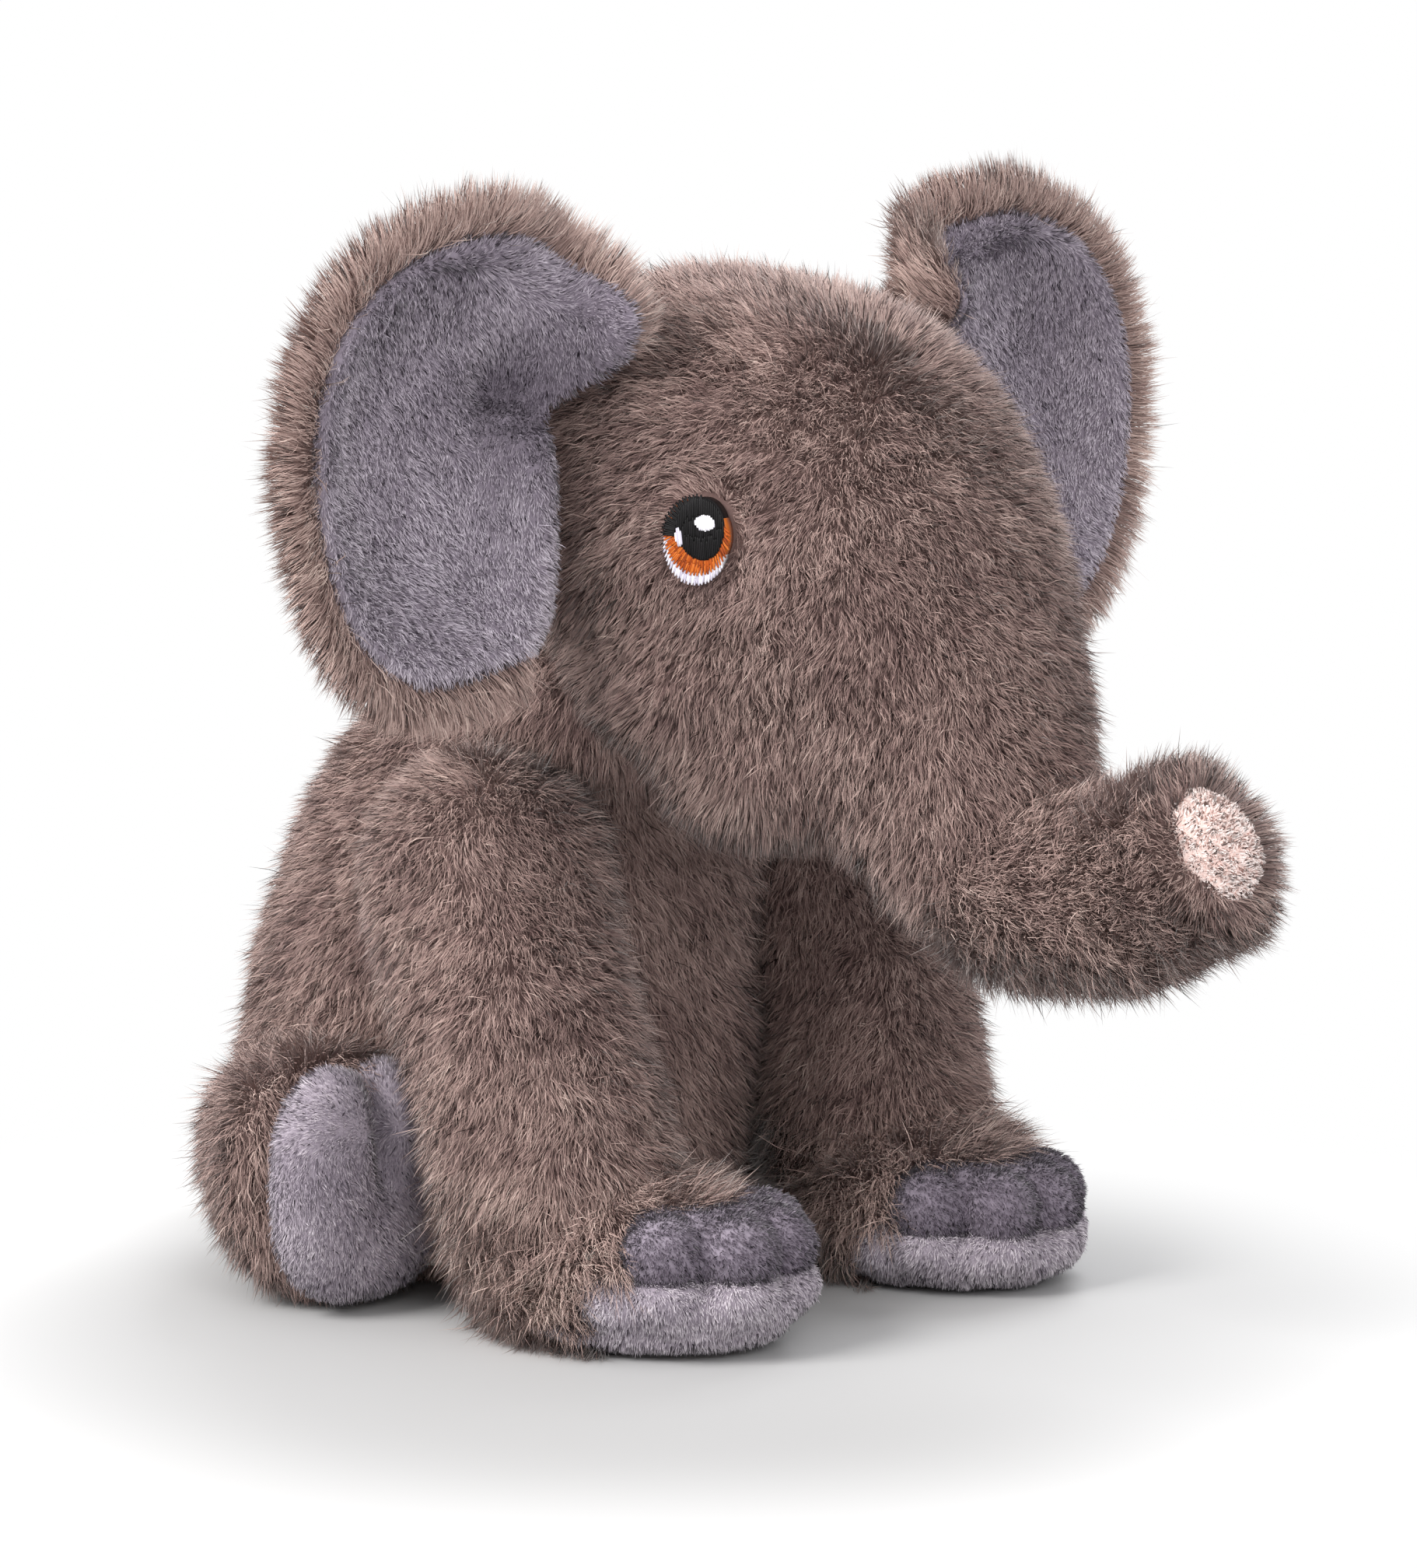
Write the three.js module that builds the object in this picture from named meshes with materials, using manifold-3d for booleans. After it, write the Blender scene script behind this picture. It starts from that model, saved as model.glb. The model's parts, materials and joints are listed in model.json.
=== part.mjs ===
// A sitting plush elephant, sewn from long pile skins over fibre stuffing.
// Millimetres, +Z up. It faces -Y, and its own right side is -X.
// Every limb turns on a ball shaped root that sits in a matching socket.

import * as THREE from 'three';
import { mergeVertices } from 'three/addons/utils/BufferGeometryUtils.js';
import Module from 'manifold-3d';

const wasm = await Module();
wasm.setup();

// ---------------------------------------------------------------- driving dimensions

const GAP = 0.35;                 // clearance between sewn neighbours
const SKIN = 2.5;                 // backing cloth and matted root of the pile
const FILLED = SKIN + 1.2;        // depth at which the stuffing starts
const SIDES = [['right', -1], ['left', 1]];

// torso: rings from the seat up to the shoulders, [height, centre y, half width, half depth]
const TORSO = [
  [-14, 31, 40, 38],
  [14, 31, 46, 42],
  [38, 28, 47, 43],
  [62, 22, 44, 40],
  [82, 13, 37, 35],
  [98, 6, 30, 28],
];
const BEAN_BAG = { centre: [0, 30, 15], size: [27, 25, 10], sag: 4 };

// neck: a firm ball of stuffing between torso and head
const NECK = { centre: [0, -4, 101], radius: 23, room: 1.9 };

const HEAD_SEAT = { centre: [0, -14, 134], size: [46, 47, 41.5] };   // hollow over the shoulders

// head and upper trunk: one loft, [y, z, half width, half height]
const HEAD = [
  [-7, 133, 37, 35],
  [-24, 134, 41.5, 38],
  [-42, 127, 41, 40],
  [-60, 112.5, 34, 33],
  [-74, 95.5, 25.5, 23.5],
  [-87, 78, 17, 17],
];
const CHEEK = { centre: [20, -38, 110], size: [20, 24, 19] };   // fullness above the jaw
const EYE = { centre: [38.3, -54.2, 131.5], turn: 64, tilt: 2, thickness: 0.8 };

// ears: outline in the ear's own plane, from the seam outwards, [outwards, up]
const EAR = { seam: [43, -24, 137], sweep: 4, lining: 3.4, back: 4.6, bevel: 1.6 };
const EAR_OUTLINE = [
  [2, 0], [0, 13], [-8, 24], [-8, 35.5], [2, 43.5], [17, 46.5], [34, 43],
  [47.5, 34.5], [55.5, 21.5], [57.5, 6], [55, -9], [49, -22], [38, -31], [24, -32], [11, -27], [3, -16],
];
const EAR_MIDDLE = [26, 8];
const LINING_SCALE = 0.86;

// trunk end: the turned up last part, from the fold to the tip
const TRUNK = {
  fold: [0, -90, 76], bend: [0, -110, 76.5], tip: [0, -126, 84.5],
  ball: 16, radius: 14.3, bulge: 0.25,
};
const TRUNK_OPENING = { centre: [0, -74.5, 83], radius: 10 };
const FOLD_ROOM = 1.2;            // space around the trunk's ball shaped root
const TRUNK_TIP = { radius: 9.5, thickness: 2.4, sunk: 1 };

// front legs: shoulder ball, shaft and a long foot with a flat sole
const SHOULDER = { opening: [10, -4, 74], openingRadius: 12 };
const FRONT_LEG = [
  [37, -4, 74, 20, 20],
  [40, -12, 56, 19.5, 20],
  [40, -20, 37, 19, 20],
  [37, -25, 14, 18.5, 20],
];
const FRONT_FOOT = { centre: [35, -38, 9], size: [22.5, 30, 19], turn: 6 };
const FRONT_SOLE = { wide: 20, long: 27, thickness: 3.5 };
const TOE_CAP = { start: -49, top: 21 };

// hind legs: short stubs that point forward, each with a round sole pad
const HIP = { opening: [22, 35, 22.5], openingRadius: 12 };
const HIND_LEG = [
  [41, 35, 21.5, 17.5, 18.5],
  [46.5, 26, 22.2, 18.8, 20.2],
  [54, 15.5, 22.5, 19.8, 21.5],
];
const HIND_PAD = { wide: 18.5, tall: 19, crown: 12, thickness: 6.5, bulge: 0.45 };

// tail: a short cord of fur with a tuft
const TAIL = { root: [0, 77.2, 26], end: [0, 87, 7], radius: 3.4, tuft: 5.4 };

// the torso is hollowed around each limb by this much at its root and at its far end
const CLEARANCE = { root: 2.3, frontEnd: 10, hindEnd: 9 };

const WIDE_RINGS = 20;            // sides of a large loft
const SMALL_RINGS = 12;           // sides of a small one
const SHORT_EDGE = 0.002;         // an edge this short is merged after a cut

// ---------------------------------------------------------------- materials

const cloth = (color, roughness = 0.95) => (
  new THREE.MeshStandardMaterial({ color, roughness, metalness: 0 })
);
const FUR = cloth('#7d6a62');
const PLUSH = cloth('#756c80');
const PALE_PLUSH = cloth('#8a8293');
const PINK = cloth('#f3c8bf');
const FILLING = cloth('#eeebe4');
const PELLET_BAG = cloth('#d9d4c8');
const BLACK = cloth('#141214', 0.6);
const ORANGE = cloth('#c5510f', 0.6);
const WHITE = cloth('#e6e2ee', 0.6);

// ---------------------------------------------------------------- shape helpers

const vector = (list) => new THREE.Vector3(...list);
const mirrored = (side, [x, y, z]) => [side * x, y, z];

/** A closed three.js geometry as a solid that can be joined and cut. */
function solid(geometry) {
  const bare = geometry.clone();
  for (const name of Object.keys(bare.attributes)) {
    if (name !== 'position') bare.deleteAttribute(name);
  }
  const merged = mergeVertices(bare, 1e-4);
  return new wasm.Manifold(new wasm.Mesh({
    numProp: 3,
    vertProperties: new Float32Array(merged.attributes.position.array),
    triVerts: new Uint32Array(merged.index.array),
  }));
}

/** A solid as a geometry again, without the short edges and loose crumbs that a cut may leave. */
function geometryOf(shape) {
  const largest = shape.decompose().sort((a, b) => b.volume() - a.volume())[0];
  const mesh = largest.getMesh();
  const cut = new THREE.BufferGeometry();
  cut.setAttribute('position', new THREE.BufferAttribute(new Float32Array(mesh.vertProperties), 3));
  cut.setIndex(new THREE.BufferAttribute(new Uint32Array(mesh.triVerts), 1));
  const geometry = mergeVertices(cut, SHORT_EDGE);
  const kept = [];
  const corners = geometry.index.array;
  for (let i = 0; i < corners.length; i += 3) {
    const [a, b, c] = corners.slice(i, i + 3);
    if (a !== b && b !== c && c !== a) kept.push(a, b, c);
  }
  geometry.setIndex(kept);
  geometry.computeVertexNormals();
  return geometry;
}

function piece(name, shape, material) {
  const mesh = new THREE.Mesh(shape.isBufferGeometry ? shape : geometryOf(shape), material);
  mesh.name = name;
  return mesh;
}

/** How far a rounded end has swelled to its full radius, at a distance from that end. */
const swell = (distance, round) => (
  distance >= round ? 1 : Math.sqrt(Math.max(0, 1 - (1 - distance / round) ** 2))
);

/**
 * A closed body around a curve. Stations are [point, half width, half height]: the half width
 * lies along X and the half height across it. Each end bulges past its last station by round
 * times its half width. An inset shrinks the body all round.
 */
function loft(stations, { sides = WIDE_RINGS, rings, round, inset = 0 }) {
  const curve = new THREE.CatmullRomCurve3(stations.map(([point]) => vector(point)), false, 'centripetal');
  const radii = new THREE.CatmullRomCurve3(
    stations.map(([, width, height]) => new THREE.Vector3(width, height, 0)), false, 'centripetal');
  const length = curve.getLength();
  const near = stations.at(0)[1] * round[0];
  const far = stations.at(-1)[1] * round[1];
  const whole = length + near + far;
  const positions = [];
  const index = [];
  for (let ring = 0; ring <= rings; ring += 1) {
    const eased = (1 - Math.cos((Math.PI * ring) / rings)) / 2;
    const along = inset + (whole - 2 * inset) * eased;
    const t = THREE.MathUtils.clamp((along - near) / length, 0, 1);
    const tangent = curve.getTangent(t);
    const overshoot = along - near - t * length;
    const centre = curve.getPoint(t).addScaledVector(tangent, overshoot);
    const grown = Math.min(swell(along - inset, near), swell(whole - inset - along, far));
    const size = radii.getPoint(t);
    const across = new THREE.Vector3().crossVectors(tangent, new THREE.Vector3(1, 0, 0)).normalize();
    const wide = new THREE.Vector3().crossVectors(across, tangent).normalize();
    const pole = ring === 0 || ring === rings;
    for (let k = 0; k < (pole ? 1 : sides); k += 1) {
      const angle = (2 * Math.PI * k) / sides;
      const reach = pole ? 0 : grown;
      const point = centre.clone()
        .addScaledVector(wide, Math.cos(angle) * (size.x - inset) * reach)
        .addScaledVector(across, Math.sin(angle) * (size.y - inset) * reach);
      positions.push(point.x, point.y, point.z);
    }
  }
  const start = (ring) => (ring === 0 ? 0 : 1 + (ring - 1) * sides);
  for (let ring = 0; ring < rings; ring += 1) {
    for (let k = 0; k < sides; k += 1) {
      const next = (k + 1) % sides;
      const [a, b] = ring === 0 ? [0, 0] : [start(ring) + k, start(ring) + next];
      const [c, d] = ring === rings - 1
        ? [start(rings), start(rings)]
        : [start(ring + 1) + k, start(ring + 1) + next];
      if (ring > 0) index.push(a, b, d);
      if (ring < rings - 1) index.push(a, d, c);
    }
  }
  const geometry = new THREE.BufferGeometry();
  geometry.setAttribute('position', new THREE.Float32BufferAttribute(positions, 3));
  geometry.setIndex(index);
  const body = solid(geometry);
  return body.volume() > 0 ? body : solid(flipped(geometry));
}

function flipped(geometry) {
  const turned = geometry.clone();
  const order = turned.index.array;
  for (let i = 0; i < order.length; i += 3) {
    [order[i], order[i + 1]] = [order[i + 1], order[i]];
  }
  return turned;
}

function ball(centre, radius, sides = WIDE_RINGS) {
  const size = Array.isArray(radius) ? radius : [radius, radius, radius];
  const geometry = new THREE.SphereGeometry(1, sides, Math.round(sides * 0.6));
  geometry.scale(...size);
  geometry.translate(...centre);
  return solid(geometry);
}

function box(low, high) {
  const size = high.map((value, axis) => value - low[axis]);
  const geometry = new THREE.BoxGeometry(...size);
  geometry.translate(...low.map((value, axis) => value + size[axis] / 2));
  return solid(geometry);
}

const FAR = 400;
const below = (z) => box([-FAR, -FAR, -FAR], [FAR, FAR, z]);

// ---------------------------------------------------------------- front legs

/** The stations of one side's limb, grown from nothing at its root to its far end. */
function limbStations(list, side, rootGrowth = 0, endGrowth = 0) {
  return list.map(([x, y, z, wide, deep], step) => {
    const growth = rootGrowth + ((endGrowth - rootGrowth) * step) / (list.length - 1);
    return [[side * x, y, z], wide + growth, deep + growth];
  });
}

function frontLegShape(side, inset) {
  const detail = { sides: SMALL_RINGS, rings: 9, round: [1, 0.5], inset };
  const [x, y, z] = FRONT_FOOT.centre;
  const foot = ball([0, 0, 0], FRONT_FOOT.size.map((value) => value - inset), SMALL_RINGS)
    .rotate([0, 0, side * FRONT_FOOT.turn])
    .translate([side * x, y, z]);
  return loft(limbStations(FRONT_LEG, side), detail).add(foot).subtract(below(inset));
}

/** The room that a limb needs in the torso to swing about its ball shaped root. */
function pocket(list, side, endGrowth) {
  const detail = { sides: SMALL_RINGS, rings: 7, round: [1, 1] };
  return loft(limbStations(list, side, CLEARANCE.root, endGrowth), detail);
}

function frontLeg(side, label) {
  const outer = frontLegShape(side, 0);
  const inner = frontLegShape(side, SKIN);
  const x = side * FRONT_FOOT.centre[0];
  const opening = ball(mirrored(side, SHOULDER.opening), SHOULDER.openingRadius, SMALL_RINGS);
  const { wide, long, thickness } = FRONT_SOLE;
  const soleShape = (grow) => ball(
    [x, FRONT_FOOT.centre[1], 0], [wide + grow, long + grow, 2 * (thickness + grow)], SMALL_RINGS)
    .intersect(below(thickness + grow));
  const toeBlock = box([-FAR, -FAR, thickness + GAP], [FAR, TOE_CAP.start, TOE_CAP.top]);
  const toeRoom = box([-FAR, -FAR, thickness], [FAR, TOE_CAP.start + GAP, TOE_CAP.top + GAP]);
  const shell = outer.subtract(inner).subtract(soleShape(GAP));
  const group = new THREE.Group();
  group.add(
    piece(`${label}_front_leg_skin`, shell.subtract(toeRoom).subtract(opening), FUR),
    piece(`${label}_front_leg_stuffing`,
      frontLegShape(side, FILLED).subtract(below(thickness + GAP)), FILLING),
    piece(`${label}_front_sole`, soleShape(0).subtract(below(0)), PALE_PLUSH),
    piece(`${label}_front_toe_cap`, shell.intersect(toeBlock), PLUSH),
  );
  return group;
}

// ---------------------------------------------------------------- hind legs

function hindLegShape(side, inset) {
  const detail = { sides: SMALL_RINGS, rings: 9, round: [1, HIND_PAD.bulge], inset };
  return loft(limbStations(HIND_LEG, side), detail).subtract(below(inset));
}

function hindLeg(side, label) {
  const outer = hindLegShape(side, 0);
  const [x, y, z] = HIND_LEG.at(-1);
  const front = y - HIND_LEG.at(-1)[3] * HIND_PAD.bulge;
  const padBack = front + HIND_PAD.thickness;
  const { wide, tall, crown } = HIND_PAD;
  const padSolid = (grow) => {
    const size = [wide, crown, tall].map((value) => value + grow);
    const cushion = ball([side * x, padBack, z], size, SMALL_RINGS);
    return cushion.intersect(box([-FAR, -FAR, 0], [FAR, padBack + grow, FAR]));
  };
  const opening = ball(mirrored(side, HIP.opening), HIP.openingRadius, SMALL_RINGS);
  const group = new THREE.Group();
  group.add(
    piece(`${label}_hind_leg_skin`,
      outer.subtract(hindLegShape(side, SKIN)).subtract(padSolid(GAP)).subtract(opening), FUR),
    piece(`${label}_hind_leg_stuffing`, hindLegShape(side, FILLED).subtract(padSolid(GAP)), FILLING),
    piece(`${label}_hind_sole`, padSolid(0).intersect(outer), PALE_PLUSH),
  );
  return group;
}

// ---------------------------------------------------------------- torso, tail and neck

function torsoShape(inset) {
  const stations = TORSO.map(([z, y, wide, deep]) => [[0, y, z], wide, deep]);
  return loft(stations, { rings: 13, round: [0.3, 0.3], inset }).subtract(below(inset));
}

/** Everything that the torso is hollowed for: the neck, the head above it and the four limbs. */
function torsoRoom() {
  let room = neckBall(NECK.room).add(ball(HEAD_SEAT.centre, HEAD_SEAT.size));
  for (const [, side] of SIDES) {
    room = room
      .add(pocket(FRONT_LEG, side, CLEARANCE.frontEnd))
      .add(pocket(HIND_LEG, side, CLEARANCE.hindEnd));
  }
  return room;
}

function torso() {
  const beans = (grow) => {
    const pouch = ball(BEAN_BAG.centre, BEAN_BAG.size.map((value) => value + grow), SMALL_RINGS);
    return pouch.add(pouch.translate([0, 0, -BEAN_BAG.sag]));
  };
  const seat = SKIN + GAP;
  const room = torsoRoom();
  const group = new THREE.Group();
  group.add(
    piece('body_skin', torsoShape(0).subtract(torsoShape(SKIN)).subtract(room), FUR),
    piece('body_stuffing', torsoShape(FILLED).subtract(room).subtract(beans(GAP)), FILLING),
    piece('bean_bag', beans(0).subtract(below(seat)), PELLET_BAG),
  );
  return group;
}

function tail() {
  const path = new THREE.QuadraticBezierCurve3(
    vector(TAIL.root), new THREE.Vector3(0, TAIL.end[1], TAIL.root[2]), vector(TAIL.end));
  const stations = [0, 0.5, 1].map((t) => [path.getPoint(t).toArray(), TAIL.radius, TAIL.radius]);
  const cord = loft(stations, { sides: 8, rings: 7, round: [0.8, 0.8] });
  const tuftAt = (radius) => ball(TAIL.end, [radius, radius, radius * 1.2], 12);
  const group = new THREE.Group();
  group.add(
    piece('tail_cord', cord.subtract(tuftAt(TAIL.tuft + GAP)), FUR),
    piece('tail_tuft', tuftAt(TAIL.tuft), FUR),
  );
  return group;
}

const neckBall = (grow) => ball(NECK.centre, NECK.radius + grow, SMALL_RINGS);
const neck = () => piece('neck_stuffing', neckBall(0), FILLING);

// ---------------------------------------------------------------- head, trunk, ears and eyes

function headShape(inset) {
  const stations = HEAD.map(([y, z, wide, tall]) => [[0, y, z], wide, tall]);
  const skull = loft(stations, { rings: 14, round: [0.62, 0.62], inset });
  const size = CHEEK.size.map((value) => value - inset);
  return skull
    .add(ball(mirrored(-1, CHEEK.centre), size, SMALL_RINGS))
    .add(ball(mirrored(1, CHEEK.centre), size, SMALL_RINGS));
}

/** What the head is hollowed for: the neck ball behind, and the root of the trunk's end in front. */
function headRoom() {
  return neckBall(NECK.room)
    .add(ball(TRUNK.fold, TRUNK.ball + FOLD_ROOM, WIDE_RINGS))
    .add(box([-FAR, -FAR, -FAR], [FAR, TRUNK.fold[1], FAR]));
}

function head() {
  const room = headRoom();
  const group = new THREE.Group();
  group.add(
    piece('head_skin', headShape(0).subtract(headShape(SKIN)).subtract(room), FUR),
    piece('head_stuffing', headShape(FILLED).subtract(room), FILLING),
  );
  return group;
}

function trunkEnd() {
  const shape = (inset) => loft([
    [TRUNK.fold, TRUNK.ball, TRUNK.ball],
    [TRUNK.bend, TRUNK.radius, TRUNK.radius],
    [TRUNK.tip, TRUNK.radius, TRUNK.radius],
  ], { sides: SMALL_RINGS, rings: 11, round: [1, TRUNK.bulge], inset });
  const aim = vector(TRUNK.tip).sub(vector(TRUNK.bend)).normalize();
  const seat = vector(TRUNK.tip).addScaledVector(aim, TRUNK.radius * TRUNK.bulge - TRUNK_TIP.sunk);
  const disc = (grow) => {
    const geometry = new THREE.CylinderGeometry(
      TRUNK_TIP.radius + grow, TRUNK_TIP.radius + grow, TRUNK_TIP.thickness + 2 * grow, SMALL_RINGS);
    geometry.applyQuaternion(new THREE.Quaternion().setFromUnitVectors(new THREE.Vector3(0, 1, 0), aim));
    geometry.translate(...seat.toArray());
    return solid(geometry);
  };
  const opening = ball(TRUNK_OPENING.centre, TRUNK_OPENING.radius, SMALL_RINGS);
  const group = new THREE.Group();
  group.add(
    piece('trunk_skin', shape(0).subtract(shape(SKIN)).subtract(disc(GAP)).subtract(opening), FUR),
    piece('trunk_stuffing', shape(FILLED).subtract(disc(GAP)), FILLING),
    piece('trunk_tip', disc(0), PINK),
  );
  return group;
}

/** A flat sewn panel with soft edges, from an outline in its own plane. */
function panel(outline, depth, bevel) {
  return new THREE.ExtrudeGeometry(new THREE.Shape(outline), {
    depth: depth - 2 * bevel,
    bevelEnabled: true,
    bevelThickness: bevel,
    bevelSize: bevel,
    bevelOffset: -bevel,
    bevelSegments: 2,
    curveSegments: 1,
  });
}

function earOutline(side, scale) {
  const curve = new THREE.CatmullRomCurve3(
    EAR_OUTLINE.map(([x, y]) => new THREE.Vector3(x, y, 0)), true, 'centripetal');
  const middle = vector([...EAR_MIDDLE, 0]);
  const points = curve.getPoints(24).slice(0, -1)
    .map((point) => point.sub(middle).multiplyScalar(scale).add(middle))
    .map((point) => new THREE.Vector2(side * point.x, point.y));
  return side > 0 ? points.reverse() : points;
}

function ear(side, label) {
  const back = panel(earOutline(side, 1), EAR.back, EAR.bevel);
  const lining = panel(earOutline(side, LINING_SCALE), EAR.lining, EAR.bevel);
  const backMesh = piece(`${label}_ear_back`, solid(back), FUR);
  const liningMesh = piece(`${label}_ear_lining`, solid(lining), PLUSH);
  liningMesh.position.z = EAR.back + GAP;
  const plane = new THREE.Group();
  plane.add(backMesh, liningMesh);
  plane.rotation.x = Math.PI / 2;
  plane.position.y = EAR.back / 2;
  const group = new THREE.Group();
  group.add(plane);
  group.rotation.z = side * THREE.MathUtils.degToRad(EAR.sweep);
  group.position.set(...mirrored(side, EAR.seam));
  return group;
}

const oval = (x, y, wide, tall) => {
  const shape = new THREE.Shape();
  shape.absellipse(x, y, wide, tall, 0, 2 * Math.PI);
  const detail = { depth: EYE.thickness, bevelEnabled: false, curveSegments: 9 };
  return solid(new THREE.ExtrudeGeometry(shape, detail));
};

/** One embroidered eye: x runs away from the trunk and y runs up, in the eye's own plane. */
function eye(side, label) {
  const pupil = (grow) => oval(side * -0.6, 1.3, 4.4 + grow, 5.3 + grow);
  const iris = (grow) => oval(side * 0.1, -0.4, 5.1 + grow, 5.7 + grow);
  const white = oval(side * 0.6, -1.4, 5.2, 5.8);
  const plane = new THREE.Group();
  const glints = [['glint_large', -1.3, 3.0, 1.3], ['glint_small', 2.3, 1.2, 0.8]];
  plane.add(
    piece(`${label}_eye_pupil`, pupil(0), BLACK),
    piece(`${label}_eye_iris`, iris(0).subtract(pupil(GAP)), ORANGE),
    piece(`${label}_eye_white`, white.subtract(iris(GAP)).subtract(pupil(GAP)), WHITE),
  );
  for (const [name, x, y, radius] of glints) {
    const glint = piece(`${label}_eye_${name}`, oval(side * x, y, radius, radius * 1.2), WHITE);
    glint.position.z = EYE.thickness + GAP;
    plane.add(glint);
  }
  plane.rotation.set(Math.PI / 2, 0, 0);
  const tilt = new THREE.Group();
  tilt.add(plane);
  tilt.rotation.x = -THREE.MathUtils.degToRad(EYE.tilt);
  const group = new THREE.Group();
  group.add(tilt);
  group.rotation.z = side * THREE.MathUtils.degToRad(EYE.turn);
  group.position.set(...mirrored(side, EYE.centre));
  return group;
}

// ---------------------------------------------------------------- the whole toy

const toy = new THREE.Group();
toy.add(torso(), tail(), neck(), head(), trunkEnd());
for (const [label, side] of SIDES) {
  toy.add(ear(side, label), eye(side, label), frontLeg(side, label), hindLeg(side, label));
}

// the frame's origin is under the middle of the toy, on the surface that it sits on
const extent = new THREE.Box3().setFromObject(toy);
const middle = extent.getCenter(new THREE.Vector3());
toy.position.set(-middle.x, -middle.y, -extent.min.z);

const elephant = new THREE.Group();
elephant.add(toy);
elephant.updateMatrixWorld(true);

export default elephant;
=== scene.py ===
import json
import math

import bpy
import numpy as np
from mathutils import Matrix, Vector, kdtree
from mathutils.bvhtree import BVHTree


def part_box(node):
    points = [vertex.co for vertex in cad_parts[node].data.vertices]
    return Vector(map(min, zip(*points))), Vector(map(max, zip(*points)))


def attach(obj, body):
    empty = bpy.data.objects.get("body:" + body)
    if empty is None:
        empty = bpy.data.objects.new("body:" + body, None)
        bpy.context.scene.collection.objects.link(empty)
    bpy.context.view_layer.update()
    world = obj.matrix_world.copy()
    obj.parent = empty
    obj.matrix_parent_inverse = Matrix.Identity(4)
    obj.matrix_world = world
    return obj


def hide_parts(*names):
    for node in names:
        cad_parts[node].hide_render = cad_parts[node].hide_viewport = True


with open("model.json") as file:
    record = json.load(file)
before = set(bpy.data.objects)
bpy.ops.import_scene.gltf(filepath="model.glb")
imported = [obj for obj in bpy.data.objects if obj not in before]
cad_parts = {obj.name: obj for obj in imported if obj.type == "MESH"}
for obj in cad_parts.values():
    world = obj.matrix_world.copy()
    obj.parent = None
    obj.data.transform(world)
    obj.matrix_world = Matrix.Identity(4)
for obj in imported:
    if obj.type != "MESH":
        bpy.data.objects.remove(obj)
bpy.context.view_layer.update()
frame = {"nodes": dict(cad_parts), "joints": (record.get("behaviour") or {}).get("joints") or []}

# A sitting plush elephant: padded skins, each under a pile of modelled fibres.
# Shapes are in the CAD part's own millimetres: +Z up, the toy faces -Y, its right side is -X.

# ---------------------------------------------------------------- driving dimensions

NECK = (0, -4, 101)
TORSO = [
    (0, 31, 6, 41, 38), (0, 31, 16, 46, 42), (0, 28, 38, 47, 43), (0, 22, 62, 44, 40),
    (0, 13, 82, 37, 35), (0, 6, 98, 30, 28),
]
HEAD = [
    (0, -7, 133, 37, 35), (0, -24, 134, 41.5, 38), (0, -42, 127, 41, 40), (0, -60, 112.5, 34, 33),
    (0, -74, 95.5, 25.5, 23.5), (0, -87, 78, 17, 17),
]
TRUNK = [(0, -90, 76, 16, 16), (0, -110, 76.5, 14.3, 14.3), (0, -126, 84.5, 14.3, 14.3)]
CHEEK = dict(centre=(20, -38, 110), size=(20, 24, 19))
JOWL = dict(centre=(14, -48, 98), size=(17, 21, 16))
FRONT_LEG = [(37, -4, 74, 20, 20), (40, -12, 56, 19.5, 20), (40, -20, 37, 19, 20), (37, -25, 14, 18.5, 20)]
FRONT_FOOT = dict(centre=(35, -38, 9), size=(22.5, 30, 19), turn=-6)
HIND_LEG = [(41, 35, 21.5, 17.5, 18.5), (46.5, 26, 22.2, 18.8, 20.2), (54, 15.5, 22.5, 19.8, 21.5)]
HIND_PAD = dict(centre=(54, 8.5, 22), wide=18.0, tall=19.5, crown=7.5)
TAIL_PATH = [(0, 77.2, 26), (0, 84, 24), (0, 87, 17), (0, 87, 7)]
TAIL_RADIUS = 3.4
EAR_SEAM = (43, -24, 137)
EAR_SWEEP = 4
EAR_OUTLINE = [
    (2, 0), (0, 13), (-8, 24), (-8, 35.5), (2, 43.5), (17, 46.5), (34, 43),
    (47.5, 34.5), (55.5, 21.5), (57.5, 6), (55, -9), (49, -22), (38, -31), (24, -32), (11, -27), (3, -16),
]
EAR_MIDDLE = (26, 8)
EYE = dict(centre=(38.3, -54.2, 131.5), turn=64, tilt=2)
EYE_AREAS = dict(white=(0.5, -1.0, 4.9, 6.1), iris=(0.1, 0.3, 5.0, 5.7), pupil=(-0.5, 1.6, 3.9, 4.9))
SIDES = (("right", -1), ("left", 1))

PILE_ROOM = 2.2          # the backing cloth lies this far inside the CAD surface
FLOOR = 0.25             # no fibre reaches lower than this

SHIFT = np.array(next(j for j in frame["joints"] if j["name"] == "neck_turn")["pos_m"]) * 1000 - NECK


def metres(points):
    return (np.asarray(points, float) + SHIFT) / 1000


def millimetres(points):
    return np.asarray(points, float) * 1000 - SHIFT


# ---------------------------------------------------------------- camera, light and floor

AZIMUTH, ELEVATION = math.radians(-46.5), math.radians(7.2)
AIM = (0, -20, 95)
DISTANCE = 1.011
LENS = 138.8
AIM_DROP = 0.00956       # the camera looks this many metres below AIM


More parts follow.
